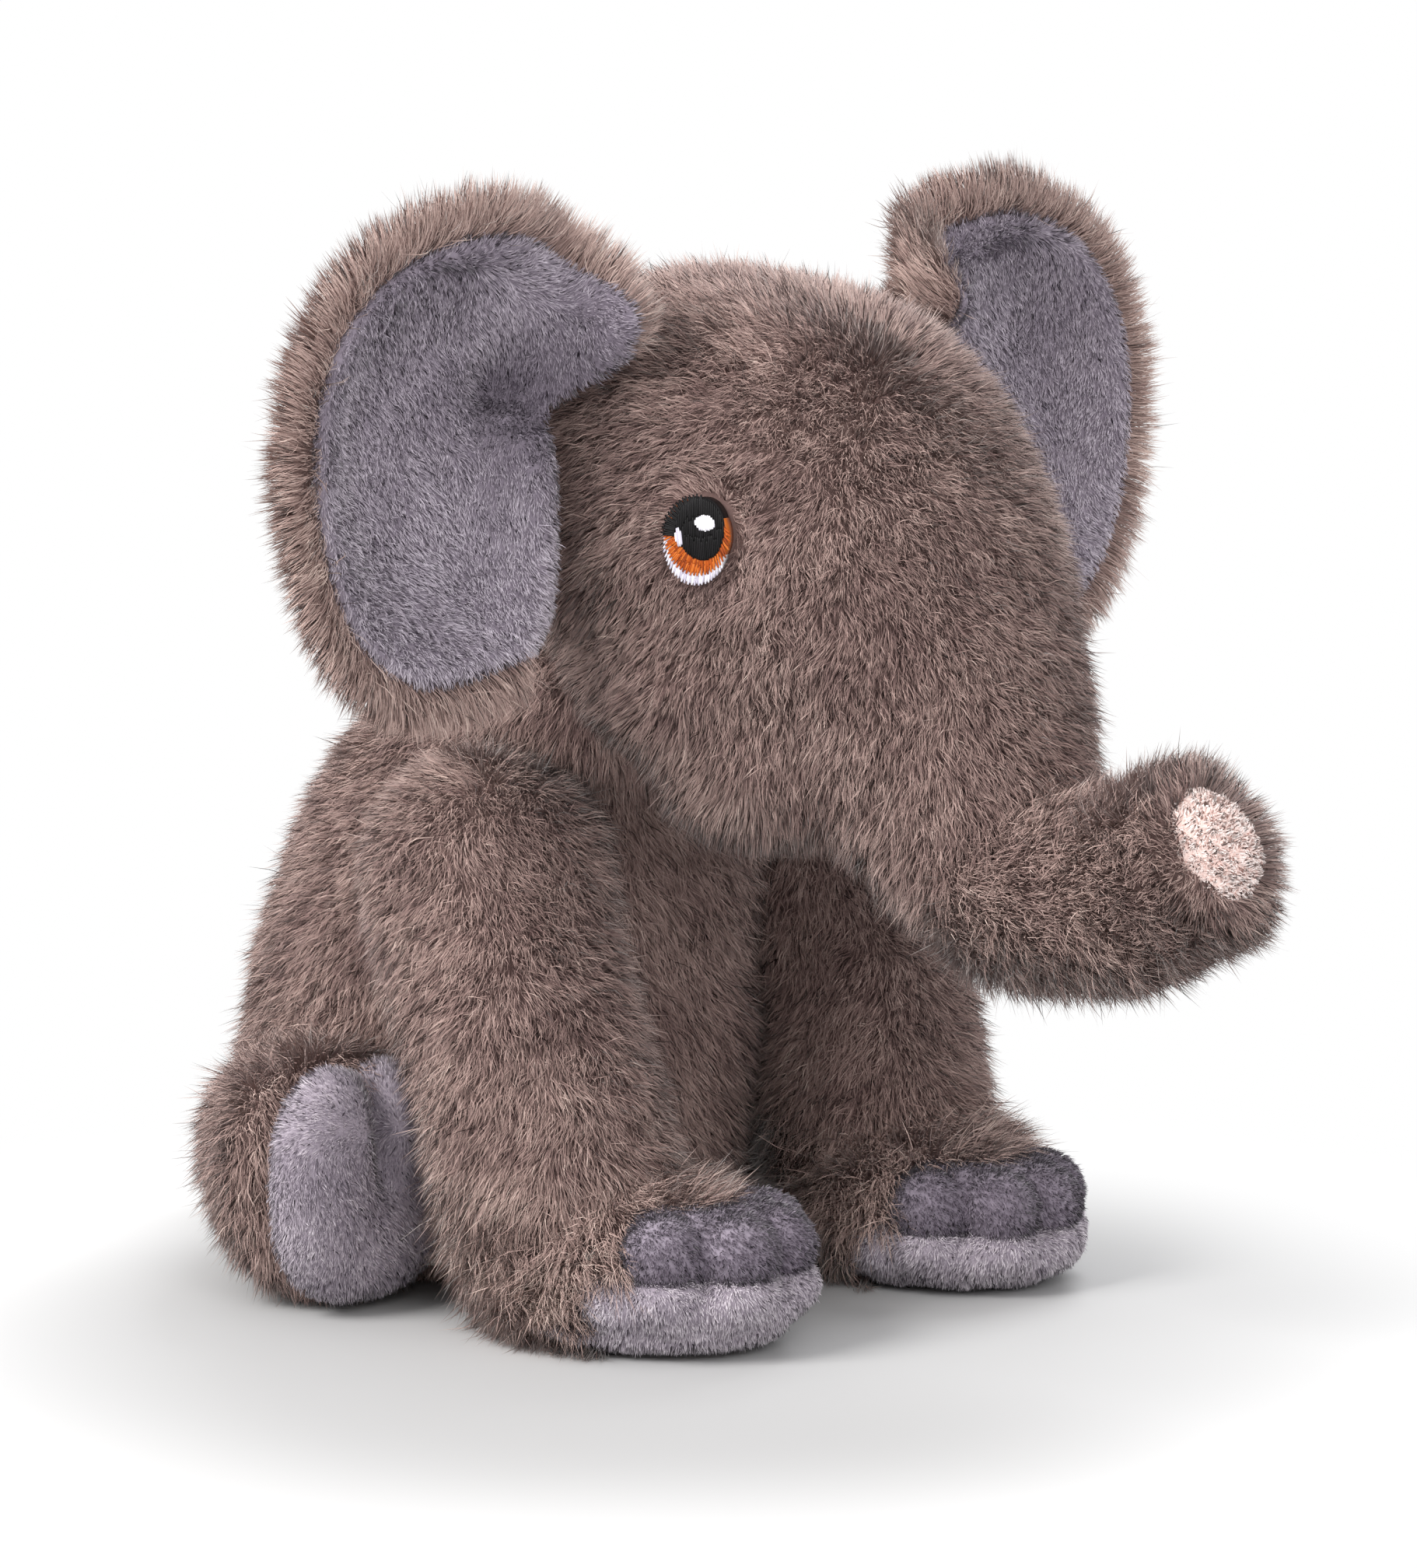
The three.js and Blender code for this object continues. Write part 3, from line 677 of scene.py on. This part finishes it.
def hind_pad_skin(label, side):
    """A crowned pad with two lobes at its top and a stitched crease between them."""
    sides, radii = 96, np.concatenate([np.linspace(0.03, 0.97, 30), [0.99, 1.0]])
    around = np.linspace(0, 2 * math.pi, sides, endpoint=False)
    power = 2.5
    reach = (np.abs(np.cos(around)) ** power + np.abs(np.sin(around)) ** power) ** (-1 / power)
    reach *= 1 - 0.13 * np.exp(-((around - math.pi / 2) / 0.2) ** 2)
    x = HIND_PAD["wide"] * reach * np.cos(around) * radii[:, None]
    z = HIND_PAD["tall"] * reach * np.sin(around) * radii[:, None]
    crown = HIND_PAD["crown"] * np.clip(1 - radii[:, None] ** 3.4, 0, 1) ** 0.5 * np.ones_like(x)
    fold = np.exp(-(x / 2.4) ** 2) * smooth_step(z, -4, 8)
    crown = crown - 5.5 * fold * np.clip(1 - radii[:, None] ** 8, 0, 1)
    crown -= 1.0 * np.exp(-((x / 5) ** 2 + (z / 5) ** 2))
    cx, cy, cz = HIND_PAD["centre"]
    front = np.stack([side * (cx + x), cy - crown, cz + z], axis=-1)
    back = np.stack([side * (cx + x), np.full_like(x, cy + 2.0), cz + z], axis=-1)
    return sided_mesh(f"{label}_hind_sole_cloth", side, np.concatenate([front, back[::-1]]))


# ---------------------------------------------------------------- trunk tip

TRUNK_TIP = dict(radius=8.9, crown=3.2, sunk=2.6)
TRUNK_END = np.array(TRUNK[2][:3], float)
TRUNK_AIM = unit(TRUNK_END - np.array(TRUNK[1][:3], float))


def trunk_tip_skin():
    """The round end of the trunk, a domed disc of fleece."""
    low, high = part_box("trunk_tip")
    middle = millimetres((np.array(low) + np.array(high)) / 2)
    wide = np.array((1.0, 0.0, 0.0))
    tall = np.cross(wide, TRUNK_AIM)
    radii = np.concatenate([np.linspace(0.03, 0.97, 16), [1.0]])
    around = np.linspace(0, 2 * math.pi, 64, endpoint=False)
    radius = TRUNK_TIP["radius"] * (1 + 0.03 * np.sin(3 * around + 1) + 0.02 * np.sin(7 * around))
    dome = TRUNK_TIP["crown"] * (1 - radii**2.4)[:, None] * np.ones(64)
    flat = np.stack([np.cos(around) * radius * r for r in radii])[..., None] * wide
    flat = flat + np.stack([np.sin(around) * radius * r for r in radii])[..., None] * tall
    front = middle + flat + (dome + 0.6)[..., None] * TRUNK_AIM
    back = middle + flat - TRUNK_TIP["sunk"] * TRUNK_AIM
    points, faces = rings_mesh(np.concatenate([front, back[::-1]])[:, ::-1])
    return mesh_object("trunk_tip_cloth", points, faces)


# ---------------------------------------------------------------- ears

def ear_place(side, outwards, up, forward):
    """Points in an ear's own plane as points of the toy, in mm."""
    c, s = math.cos(math.radians(EAR_SWEEP)), side * math.sin(math.radians(EAR_SWEEP))
    x, y = side * outwards, -forward
    return np.stack([
        side * EAR_SEAM[0] + c * x - s * y,
        EAR_SEAM[1] + s * x + c * y,
        EAR_SEAM[2] + up,
    ], axis=-1)


def ear_front(u, v, r):
    """How far forward the ear's front surface lies: a cup with a turned lip at its inner top."""
    free = smooth_step(u, -4, 16)
    cup = free * (7.0 * smooth_step(r, 0.4, 0.92) - 5.5 * (1 - r**2))
    lip = 14.0 * np.exp(-(((u + 5) / 5.5) ** 2 + ((v - 28) / 10) ** 2))
    hollow = -9.5 * np.exp(-(((u - 6) / 7.5) ** 2 + ((v - 18) / 8) ** 2))
    fan = np.arctan2(v - 12, u + 6)
    pleats = 0.8 * np.sin(fan * 22) * np.exp(-(((u - 5) / 9) ** 2 + ((v - 8) / 8) ** 2))
    return 4.0 + cup + lip + hollow + pleats


EAR_SIDES = 110
LINING = 0.88


def ear_grid(reach):
    """Rings of u and of v, at shares of the way from the ear's middle out to its outline."""
    outline, middle = spline(EAR_OUTLINE, EAR_SIDES, closed=True), np.array(EAR_MIDDLE, float)
    return np.moveaxis(middle + (outline - middle) * reach[..., None], -1, 0)


def lining_reach():
    """The lining leaves a rim of fur around the ear, but runs right up to the seam at the head."""
    u, v = spline(EAR_OUTLINE, EAR_SIDES, closed=True).T
    return LINING + 0.1 * smooth_step(-u, -18, -4) * smooth_step(-v, -29, -20)


def ear_pieces(label, side):
    radii = np.concatenate([np.linspace(0.03, 0.96, 34), [0.985, 1.0]])[:, None]
    u, v = ear_grid(radii)
    r = np.repeat(radii, EAR_SIDES, axis=1)
    thick = 5.6 * np.sqrt(np.clip(1 - r**6, 0, 1))
    middle_line = ear_front(u, v, r) - 3.0
    outer = ear_place(side, u, v, middle_line + thick / 2)
    inner = ear_place(side, u, v, middle_line - thick / 2)
    back = sided_mesh(f"{label}_ear_cloth", side, np.concatenate([outer, inner[::-1]]))
    share = np.linspace(0.03, 1, 34)[:, None]
    r = share * lining_reach()
    u, v = ear_grid(r)
    edge = np.sqrt(np.clip(1 - share**10, 0, 1))
    front = ear_front(u, v, r) - 0.3
    rings = np.concatenate([
        ear_place(side, u, v, front + 1.7 * edge), ear_place(side, u, v, front - 0.8)[::-1],
    ])
    return back, sided_mesh(f"{label}_ear_plush_cloth", side, rings)


def mesh_object(name, points, faces):
    """A mesh from points in mm, turned so that it faces outwards."""
    middle = points.mean(0)
    swept = sum(
        np.dot(points[f[0]] - middle, np.cross(points[f[i]] - middle, points[f[i + 1]] - middle))
        for f in faces for i in range(1, len(f) - 1))
    if swept < 0:
        faces = [tuple(face[::-1]) for face in faces]
    mesh = bpy.data.meshes.new(name)
    mesh.from_pydata(metres(points).tolist(), [], faces)
    mesh.update()
    for face in mesh.polygons:
        face.use_smooth = True
    return link(bpy.data.objects.new(name, mesh))


def sided_mesh(name, side, rings):
    """A closed mesh from rings of points, which run the other way on the right side."""
    return mesh_object(name, *rings_mesh(rings if side > 0 else rings[:, ::-1]))


# ---------------------------------------------------------------- eyes

def eye_place(side, x, y, forward):
    """Points in an eye's own plane as points of the toy. x runs away from the trunk, y up."""
    tilt, turn = -math.radians(EYE["tilt"]), side * math.radians(EYE["turn"])
    a, b, c = side * x, -forward, y
    b, c = b * math.cos(tilt) - c * math.sin(tilt), b * math.sin(tilt) + c * math.cos(tilt)
    cx, cy, cz = EYE["centre"]
    return np.stack([
        side * cx + a * math.cos(turn) - b * math.sin(turn),
        cy + a * math.sin(turn) + b * math.cos(turn),
        cz + c,
    ], axis=-1)


def eye_height(x, y, layer):
    """The embroidery follows the swell of the head."""
    return layer - (x**2 + y**2) / 80


def eye_plate(side, area, layer, deep=3.0, sides=48):
    """A domed plate that fills one oval under its stitches."""
    cx, cy, rx, ry = area
    radii = np.array([0.03, 0.3, 0.6, 0.85, 0.97, 1.0])[:, None]
    around = np.linspace(0, 2 * math.pi, sides, endpoint=False)
    x, y = cx + rx * radii * np.cos(around), cy + ry * radii * np.sin(around)
    top = eye_height(x, y, layer) - 0.2 * radii**6
    rings = np.concatenate([
        eye_place(side, x, y, top), eye_place(side, x[::-1], y[::-1], top[::-1] - deep),
    ])
    return rings_mesh(rings if side < 0 else rings[:, ::-1])


def stitch(side, start, end, layer, width=0.36, tall=0.2):
    """One thread laid from start to end in the eye's plane, as a thin raised lens."""
    start, end = np.array(start, float), np.array(end, float)
    along = unit(end - start)
    across = np.array((-along[1], along[0]))
    rings = []
    for t, grown in ((0.0, 0.35), (0.15, 0.85), (0.5, 1.0), (0.85, 0.85), (1.0, 0.35)):
        middle = start + (end - start) * t
        ring = []
        for offset, lift in ((-0.5, 0.0), (-0.28, 0.8), (0.28, 0.8), (0.5, 0.0), (0.0, -0.5)):
            x, y = middle + across * width * offset * (0.6 + 0.4 * grown)
            ring.append(eye_place(side, x, y, eye_height(x, y, layer) + tall * lift * grown))
        rings.append(ring)
    return rings_mesh(np.array(rings))


def on_oval(area, degrees, grown=0.0):
    cx, cy, rx, ry = area
    a = math.radians(degrees)
    return np.array((cx + (rx + grown) * math.cos(a), cy + (ry + grown) * math.sin(a)))


def on_grown(area, grown):
    """An oval with larger half sizes."""
    cx, cy, rx, ry = area
    return (cx, cy, rx + grown, ry + grown)


def stitched(name, shapes, materials, rng):
    """Joins plates and threads into one piece. Each thread takes one of the materials."""
    points, faces = joined(shapes)
    ob = mesh_object(name, points, faces)
    for material in materials:
        ob.data.materials.append(material)
    index = [np.full(len(f), rng.integers(len(materials))) for _, f in shapes]
    ob.data.polygons.foreach_set("material_index", np.concatenate(index).astype(np.int32))
    return ob


def filled_oval(side, area, layer, rng, spacing=0.3, slope=0.25):
    """Satin stitches that fill an oval in long slanting rows."""
    cx, cy, rx, ry = area
    made = []
    for row in np.arange(-rx + 0.15, rx, spacing):
        reach = ry * math.sqrt(max(0.0, 1 - (row / rx) ** 2))
        breaks = np.linspace(-reach, reach, max(2, int(reach / 1.7) + 2))
        breaks[1:-1] += rng.uniform(-0.5, 0.5, len(breaks) - 2)
        for low, high in zip(breaks[:-1], breaks[1:]):
            start = (cx + row + slope * low * 0.3, cy + low - rng.uniform(0, 0.22))
            end = (cx + row + slope * high * 0.3, cy + high + rng.uniform(0, 0.22))
            made.append(stitch(side, start, end, layer + rng.uniform(0, 0.06)))
    return made


def rim_stitches(side, inner, outer, angles, layer, rng, zigzag=0.5, step=3.2):
    """Threads that run outwards between two ovals, with uneven outer ends."""
    made = []
    for count, degrees in enumerate(np.arange(angles[0], angles[1], step)):
        start = on_oval(inner, degrees, -0.35 - rng.uniform(0, 0.2))
        end = on_oval(outer, degrees + rng.uniform(-1, 1), zigzag * (count % 2) + rng.uniform(0, 0.15))
        length = np.linalg.norm(end - start)
        if length < 0.5:
            continue
        if length > 2.6:
            middle = start + (end - start) * rng.uniform(0.4, 0.6)
            made.append(stitch(side, start, middle, layer + 0.03))
            made.append(stitch(side, middle, end, layer))
        else:
            made.append(stitch(side, start, end, layer + rng.uniform(0, 0.05)))
    return made


def eye_pieces(label, side):
    rng = np.random.default_rng(700 + side)
    white, iris, pupil = (EYE_AREAS[name] for name in ("white", "iris", "pupil"))
    pieces = {
        "white": stitched(
            f"{label}_eye_white_stitches",
            [eye_plate(side, white, 0.5)] + rim_stitches(side, iris, white, (-150, 60), 0.62, rng, 0.35),
            WHITE, rng),
        "iris": stitched(
            f"{label}_eye_iris_stitches",
            [eye_plate(side, iris, 0.75)] + rim_stitches(side, pupil, iris, (-190, 80), 0.9, rng, 0.45),
            ORANGE, rng),
    }
    lash = rim_stitches(side, on_grown(iris, -1.0), on_grown(iris, 0.6), (2, 100), 1.05, rng, 0.35, 3.0)
    pieces["pupil"] = stitched(
        f"{label}_eye_pupil_stitches",
        [eye_plate(side, pupil, 1.0)] + filled_oval(side, pupil, 1.12, rng) + lash, BLACK, rng)
    large = (-1.4, 2.5, 1.6, 1.15)
    pieces["glint_large"] = stitched(
        f"{label}_eye_glint_large_stitches",
        [eye_plate(side, large, 1.28, 0.4, 20)] + filled_oval(side, large, 1.38, rng, 0.3, 0.5), WHITE, rng)
    small = (2.95, 0.1, 0.55, 1.4)
    pieces["glint_small"] = stitched(
        f"{label}_eye_glint_small_stitches",
        [eye_plate(side, small, 1.2, 0.6, 20)] + filled_oval(side, small, 1.3, rng, 0.3, 0.5), WHITE, rng)
    for area, ob in pieces.items():
        ready(ob, "head", replaces=(f"{label}_eye_{area}",))


def eye_distance(root, side):
    """How many times its own half size a point lies from the middle of an eye."""
    centre = eye_place(side, 0.0, 0.0, 0.0)
    out = eye_place(side, 1.0, 0.0, 0.0) - centre
    up = eye_place(side, 0.0, 1.0, 0.0) - centre
    x, y = (root - centre) @ out, (root - centre) @ up
    far = np.where(root[:, 0] * side > 0, 0.0, 9.0)
    return np.sqrt((x / 5.5) ** 2 + ((y - 0.2) / 6.9) ** 2) + far


# ---------------------------------------------------------------- combing

def head_comb(root, normal):
    """The pile of the head parts at the brow and runs back over the crown and down the cheeks and trunk."""
    away = unit(root - np.array((0, -56, 148)))
    fall = np.tile((0.0, -0.2, -1.0), (len(root), 1))
    flow = away + fall * 0.5
    for side in (-1, 1):
        near = eye_distance(root, side)
        centre = eye_place(side, 0.0, 0.0, 0.0)
        flow = flow + unit(root - centre) * (1.6 * np.clip(2.0 - near, 0, 1))[:, None]
    return flow


def head_length(root, normal):
    """Short around the eyes, longer down the jaw and at the back."""
    near = np.minimum(eye_distance(root, -1), eye_distance(root, 1))
    grown = 4.6 + 1.2 * smooth_step(-root[:, 2], -110, -85) + 0.8 * smooth_step(root[:, 1], -30, 0)
    return grown * (0.5 + 0.5 * smooth_step(near, 1.0, 1.9))


def trunk_end(root):
    """How far a point lies from the axis of the trunk's tip, in disc radii. Points behind it count as far."""
    along = (root - TRUNK_END) @ TRUNK_AIM
    across = np.linalg.norm((root - TRUNK_END) - along[:, None] * TRUNK_AIM, axis=1) / TRUNK_TIP["radius"]
    return across + np.where(along < -1.0, 9.0, 0.0)


def trunk_comb(root, normal):
    """Along the trunk, and outwards round the disc at its tip."""
    along = (root - TRUNK_END) @ TRUNK_AIM
    out = unit((root - TRUNK_END) - along[:, None] * TRUNK_AIM)
    near = smooth_step(along, -4, 3)[:, None]
    return TRUNK_AIM * (1 - 0.7 * near) + out * near + np.array((0, 0, -0.25))


def trunk_length(root, normal):
    return 6.4 - 1.2 * smooth_step((root - TRUNK_END) @ TRUNK_AIM, -5, 2)


def front_leg_length(root, normal):
    return 5.2 + 3.2 * smooth_step(-root[:, 2], -36, -16)


def front_leg_comb(root, normal):
    """Down the shaft, then forwards and outwards over the foot."""
    low = smooth_step(-root[:, 2], -34, -14)[:, None]
    sideways = np.sign(root[:, :1]) * (np.abs(root[:, :1]) - 34) / 30
    ahead = np.concatenate([sideways, np.full((len(root), 1), -0.9), np.full((len(root), 1), -0.6)], axis=1)
    return down(root, normal) * (1 - low) + ahead * low


def hind_leg_comb(root, normal):
    return np.tile((0.0, -0.45, -1.0), (len(root), 1))


# ---------------------------------------------------------------- coats

FOOT_PLUSH = dict(density=11.0, width=0.15, lean=(35, 58, 72), tuft=1.0, curl=0.2)


def coats(name, surface, body, count, slot="fur", materials=None, **look):
    """A large coat in equal slices around the toy, so that no piece is too heavy."""
    materials = materials or FUR
    cuts = np.linspace(-math.pi, math.pi, count + 1)
    middle = surface.points.mean(0)
    base_keep = look.pop("keep", None)
    seed = look.pop("seed")
    for part in range(count):
        def keep(root, normal, part=part):
            angle = np.arctan2(root[:, 0] - middle[0], root[:, 1] - middle[1])
            inside = (angle >= cuts[part]) & (angle < cuts[part + 1])
            return inside if base_keep is None else inside & base_keep(root, normal)
        suffix = f"_{part + 1}" if count > 1 else ""
        ready(pile(name + suffix, surface, materials, seed, keep=keep, **look), body)


def build():
    torso, neck, head, trunk, tail = torso_skin(), neck_skin(), head_skin(), trunk_skin(), tail_skin()
    tip = trunk_tip_skin()
    made = {label: dict(
        front=front_leg_skin(label, side), hind=hind_leg_skin(label, side), toes=toe_cap_skin(label, side),
        sole=front_sole_skin(label, side), pad=hind_pad_skin(label, side),
    ) for label, side in SIDES}
    for label, side in SIDES:
        made[label]["ear"], made[label]["lining"] = ear_pieces(label, side)
    of = {key: {name: Surface(ob) for name, ob in parts.items()} for key, parts in made.items()}
    body, face, snout = Surface(torso), Surface(head), Surface(trunk)
    limbs = [of[label][name] for label, _ in SIDES for name in ("front", "hind")]

    shown = exposed(body, limbs + [face])
    coats("body_fur", body, "torso", 4, seed=101, comb=down, length=5.6, tone=2.6, open_triangles=shown,
          keep=lambda root, normal: root[:, 2] > 1.5)
    ready(torso, "torso", FUR_CLOTH, ("body_skin",))
    nape = Surface(neck)
    coats("neck_fur", nape, "neck", 1, seed=100, comb=down, length=5.5, tone=2.4,
          open_triangles=exposed(nape, [body, face]))
    ready(neck, "neck", FUR_CLOTH, ("neck_stuffing",))

    coats("head_fur", face, "head", 4, seed=102, comb=head_comb, length=head_length, tone=2.7,
          open_triangles=exposed(face, [body, snout]),
          keep=lambda root, normal: np.minimum(eye_distance(root, -1), eye_distance(root, 1)) > 0.97)
    ready(head, "head", FUR_CLOTH, ("head_skin",))
    for label, side in SIDES:
        eye_pieces(label, side)

    disc = Surface(tip)
    coats("trunk_fur", snout, "trunk", 1, seed=103, comb=trunk_comb, length=trunk_length, tone=3.0,
          open_triangles=exposed(snout, [face]) & exposed(snout, [disc], 0.2),
          keep=lambda root, normal: trunk_end(root) > 0.98)
    ready(trunk, "trunk", FUR_CLOTH, ("trunk_skin",))
    coats("trunk_tip_fleece", disc, "trunk", 1, "pink_fleece", PINK, seed=98, density=14.0,
          length=1.1, width=0.3, lean=(10, 35, 65), tuft=2.2, gather=0.5, tone=2.2, curl=0.7, tone_noise=0.5,
          comb=lambda root, normal: np.random.default_rng(5).normal(size=root.shape),
          open_triangles=exposed(disc, [snout], 0.4))
    ready(tip, "trunk", PINK_CLOTH, ("trunk_tip",))

    coats("tail_fur", Surface(tail), "tail", 1, seed=104, comb=down, length=5.5, tone=2.6, lean=(22, 38, 50))
    ready(tail, "tail", FUR_CLOTH, ("tail_cord", "tail_tuft"))

    for label, side in SIDES:
        part, skin, leg = made[label], of[label], f"{label}_front_leg"
        open_leg = exposed(skin["front"], [body]) & exposed(skin["front"], [skin["toes"], skin["sole"]], 0.3)
        coats(f"{leg}_fur", skin["front"], leg, 2, seed=105 + side, comb=front_leg_comb,
              length=front_leg_length, open_triangles=open_leg, keep=above_toes(side),
              tone=lambda root, normal: 2.7 + 1.0 * smooth_step(-root[:, 2], -40, -12))
        ready(part["front"], leg, FUR_CLOTH, (f"{leg}_skin",))
        coats(f"{label}_toe_plush", skin["toes"], leg, 1, "plush_lining", PLUSH, seed=120 + side,
              comb=front_leg_comb, length=1.2, tone=1.0, **FOOT_PLUSH,
              open_triangles=exposed(skin["toes"], [skin["front"], skin["sole"]], 0.3))
        ready(part["toes"], leg, PLUSH_CLOTH, (f"{label}_front_toe_cap",))
        coats(f"{label}_sole_plush", skin["sole"], leg, 1, "plush_sole", SOLE, seed=124 + side,
              comb=down, length=1.3, tone=4.0, **FOOT_PLUSH, keep=lambda root, normal: root[:, 2] > 0.9,
              open_triangles=exposed(skin["sole"], [skin["front"], skin["toes"]], 0.3))
        ready(part["sole"], leg, SOLE_CLOTH, (f"{label}_front_sole",))

        leg = f"{label}_hind_leg"
        open_leg = exposed(skin["hind"], [body]) & exposed(skin["hind"], [skin["pad"]], 0.3)
        coats(f"{leg}_fur", skin["hind"], leg, 2, seed=108 + side, comb=hind_leg_comb, length=6.2,
              tone=2.8, open_triangles=open_leg)
        ready(part["hind"], leg, FUR_CLOTH, (f"{leg}_skin",))
        coats(f"{label}_hind_sole_plush", skin["pad"], leg, 1, "plush_sole", SOLE, seed=128 + side,
              comb=pad_comb(side), length=1.5, tone=2.9, density=11.0, width=0.15, lean=(38, 60, 74),
              tuft=1.0, curl=0.18, open_triangles=exposed(skin["pad"], [skin["hind"]], 0.3))
        ready(part["pad"], leg, SOLE_CLOTH, (f"{label}_hind_sole",))

        ear_coats(label, side, part, skin)


def pad_comb(side):
    """Down the pad, and outwards from the crease near its top."""
    cx, _, cz = HIND_PAD["centre"]

    def comb(root, normal):
        away = root - np.array((side * cx, HIND_PAD["centre"][1] - 8, cz + 8))
        high = smooth_step(root[:, 2], cz + 2, cz + 12)[:, None]
        return down(root, normal) * (1 - high) + unit(away) * high
    return comb


def ear_coats(label, side, part, skin):
    origin = ear_place(side, 0.0, 0.0, 0.0)
    out, forward = ear_place(side, 1.0, 0.0, 0.0) - origin, ear_place(side, 0.0, 0.0, 1.0) - origin
    middle = ear_place(side, float(EAR_MIDDLE[0]), float(EAR_MIDDLE[1]), 0.0)

    def outwards(root, normal):
        """Down the back of the ear, and straight out all round its rim."""
        away = root - middle
        away = away - (away @ forward)[:, None] * forward
        rim = smooth_step(np.linalg.norm(away, axis=1), 18, 30)[:, None]
        return unit(away) * rim + down(root, normal) * (1 - rim) + (unit(away) * (0.5, 0.5, 0.2)) * (1 - rim)

    def fringe(root, normal):
        """Long at the rim, short beside the seam."""
        u = (root - origin) @ out
        beside = smooth_step(-u, -14, -4) * smooth_step(origin[2] - root[:, 2], -28, -18)
        return 6.0 - 3.0 * beside

    def rim_only(root, normal):
        """No fur grows on the front beside the seam, where the lining runs up to the head."""
        u, v = (root - origin) @ out, root[:, 2] - origin[2]
        beside = ((u < 12) & (v < 12)) | ((u < 3) & (v < 24))
        return ~beside | (normal @ forward < 0.1)

    def plush_comb(root, normal):
        rim = smooth_step(np.linalg.norm((root - middle) * (1, 0, 1), axis=1), 22, 36)[:, None]
        return down(root, normal) * (1 - 0.7 * rim) + unit(root - middle) * rim * 0.9

    def plush_tone_and_painted_shade(root, normal):
        # Painted shade and light on the lining's pile: darker in the hollow under the lip (painted shade),
        # lighter at the upper middle (painted highlight), and lighter towards the bottom.
        u, v = (root - origin) @ out, root[:, 2] - origin[2]
        painted_hollow_shade = 2.9 * np.exp(-(((u - 4) / 11) ** 2 + ((v - 14) / 7) ** 2))
        lit = 0.9 * np.exp(-(((u - 16) / 9) ** 2 + ((v - 30) / 8) ** 2))
        return 4.0 + 1.5 * smooth_step(-v, -24, 8) + lit - painted_hollow_shade

    coats(f"{label}_ear_fur", skin["ear"], f"{label}_ear", 2, seed=111 + side, comb=outwards, length=fringe,
          tone=3.9, lean=(48, 64, 74), spread=0.08, gather=0.3, curl=0.14, tone_noise=0.7, keep=rim_only,
          open_triangles=exposed(skin["ear"], [skin["lining"]], 0.1))
    ready(part["ear"], f"{label}_ear", FUR_CLOTH, (f"{label}_ear_back",))
    coats(f"{label}_ear_plush", skin["lining"], f"{label}_ear", 1, "plush_lining", PLUSH, seed=114 + side,
          comb=plush_comb, density=10.0, length=1.7, width=0.15, lean=(32, 55, 70), tone=plush_tone_and_painted_shade, tuft=1.2,
          gather=0.35, curl=0.2, open_triangles=exposed(skin["lining"], [skin["ear"]], 0.3))
    ready(part["lining"], f"{label}_ear", PLUSH_CLOTH, (f"{label}_ear_lining",))


def carried_over():
    """The CAD pieces that stay: stuffing and the pellet bag."""
    for name, ob in frame["nodes"].items():
        if name == "bean_bag" or (name.endswith("stuffing") and name != "neck_stuffing"):
            ob.data.materials.clear()
            ob.data.materials.append(PELLETS if name == "bean_bag" else FILLING)


camera()
studio()
floor()
build()
carried_over()
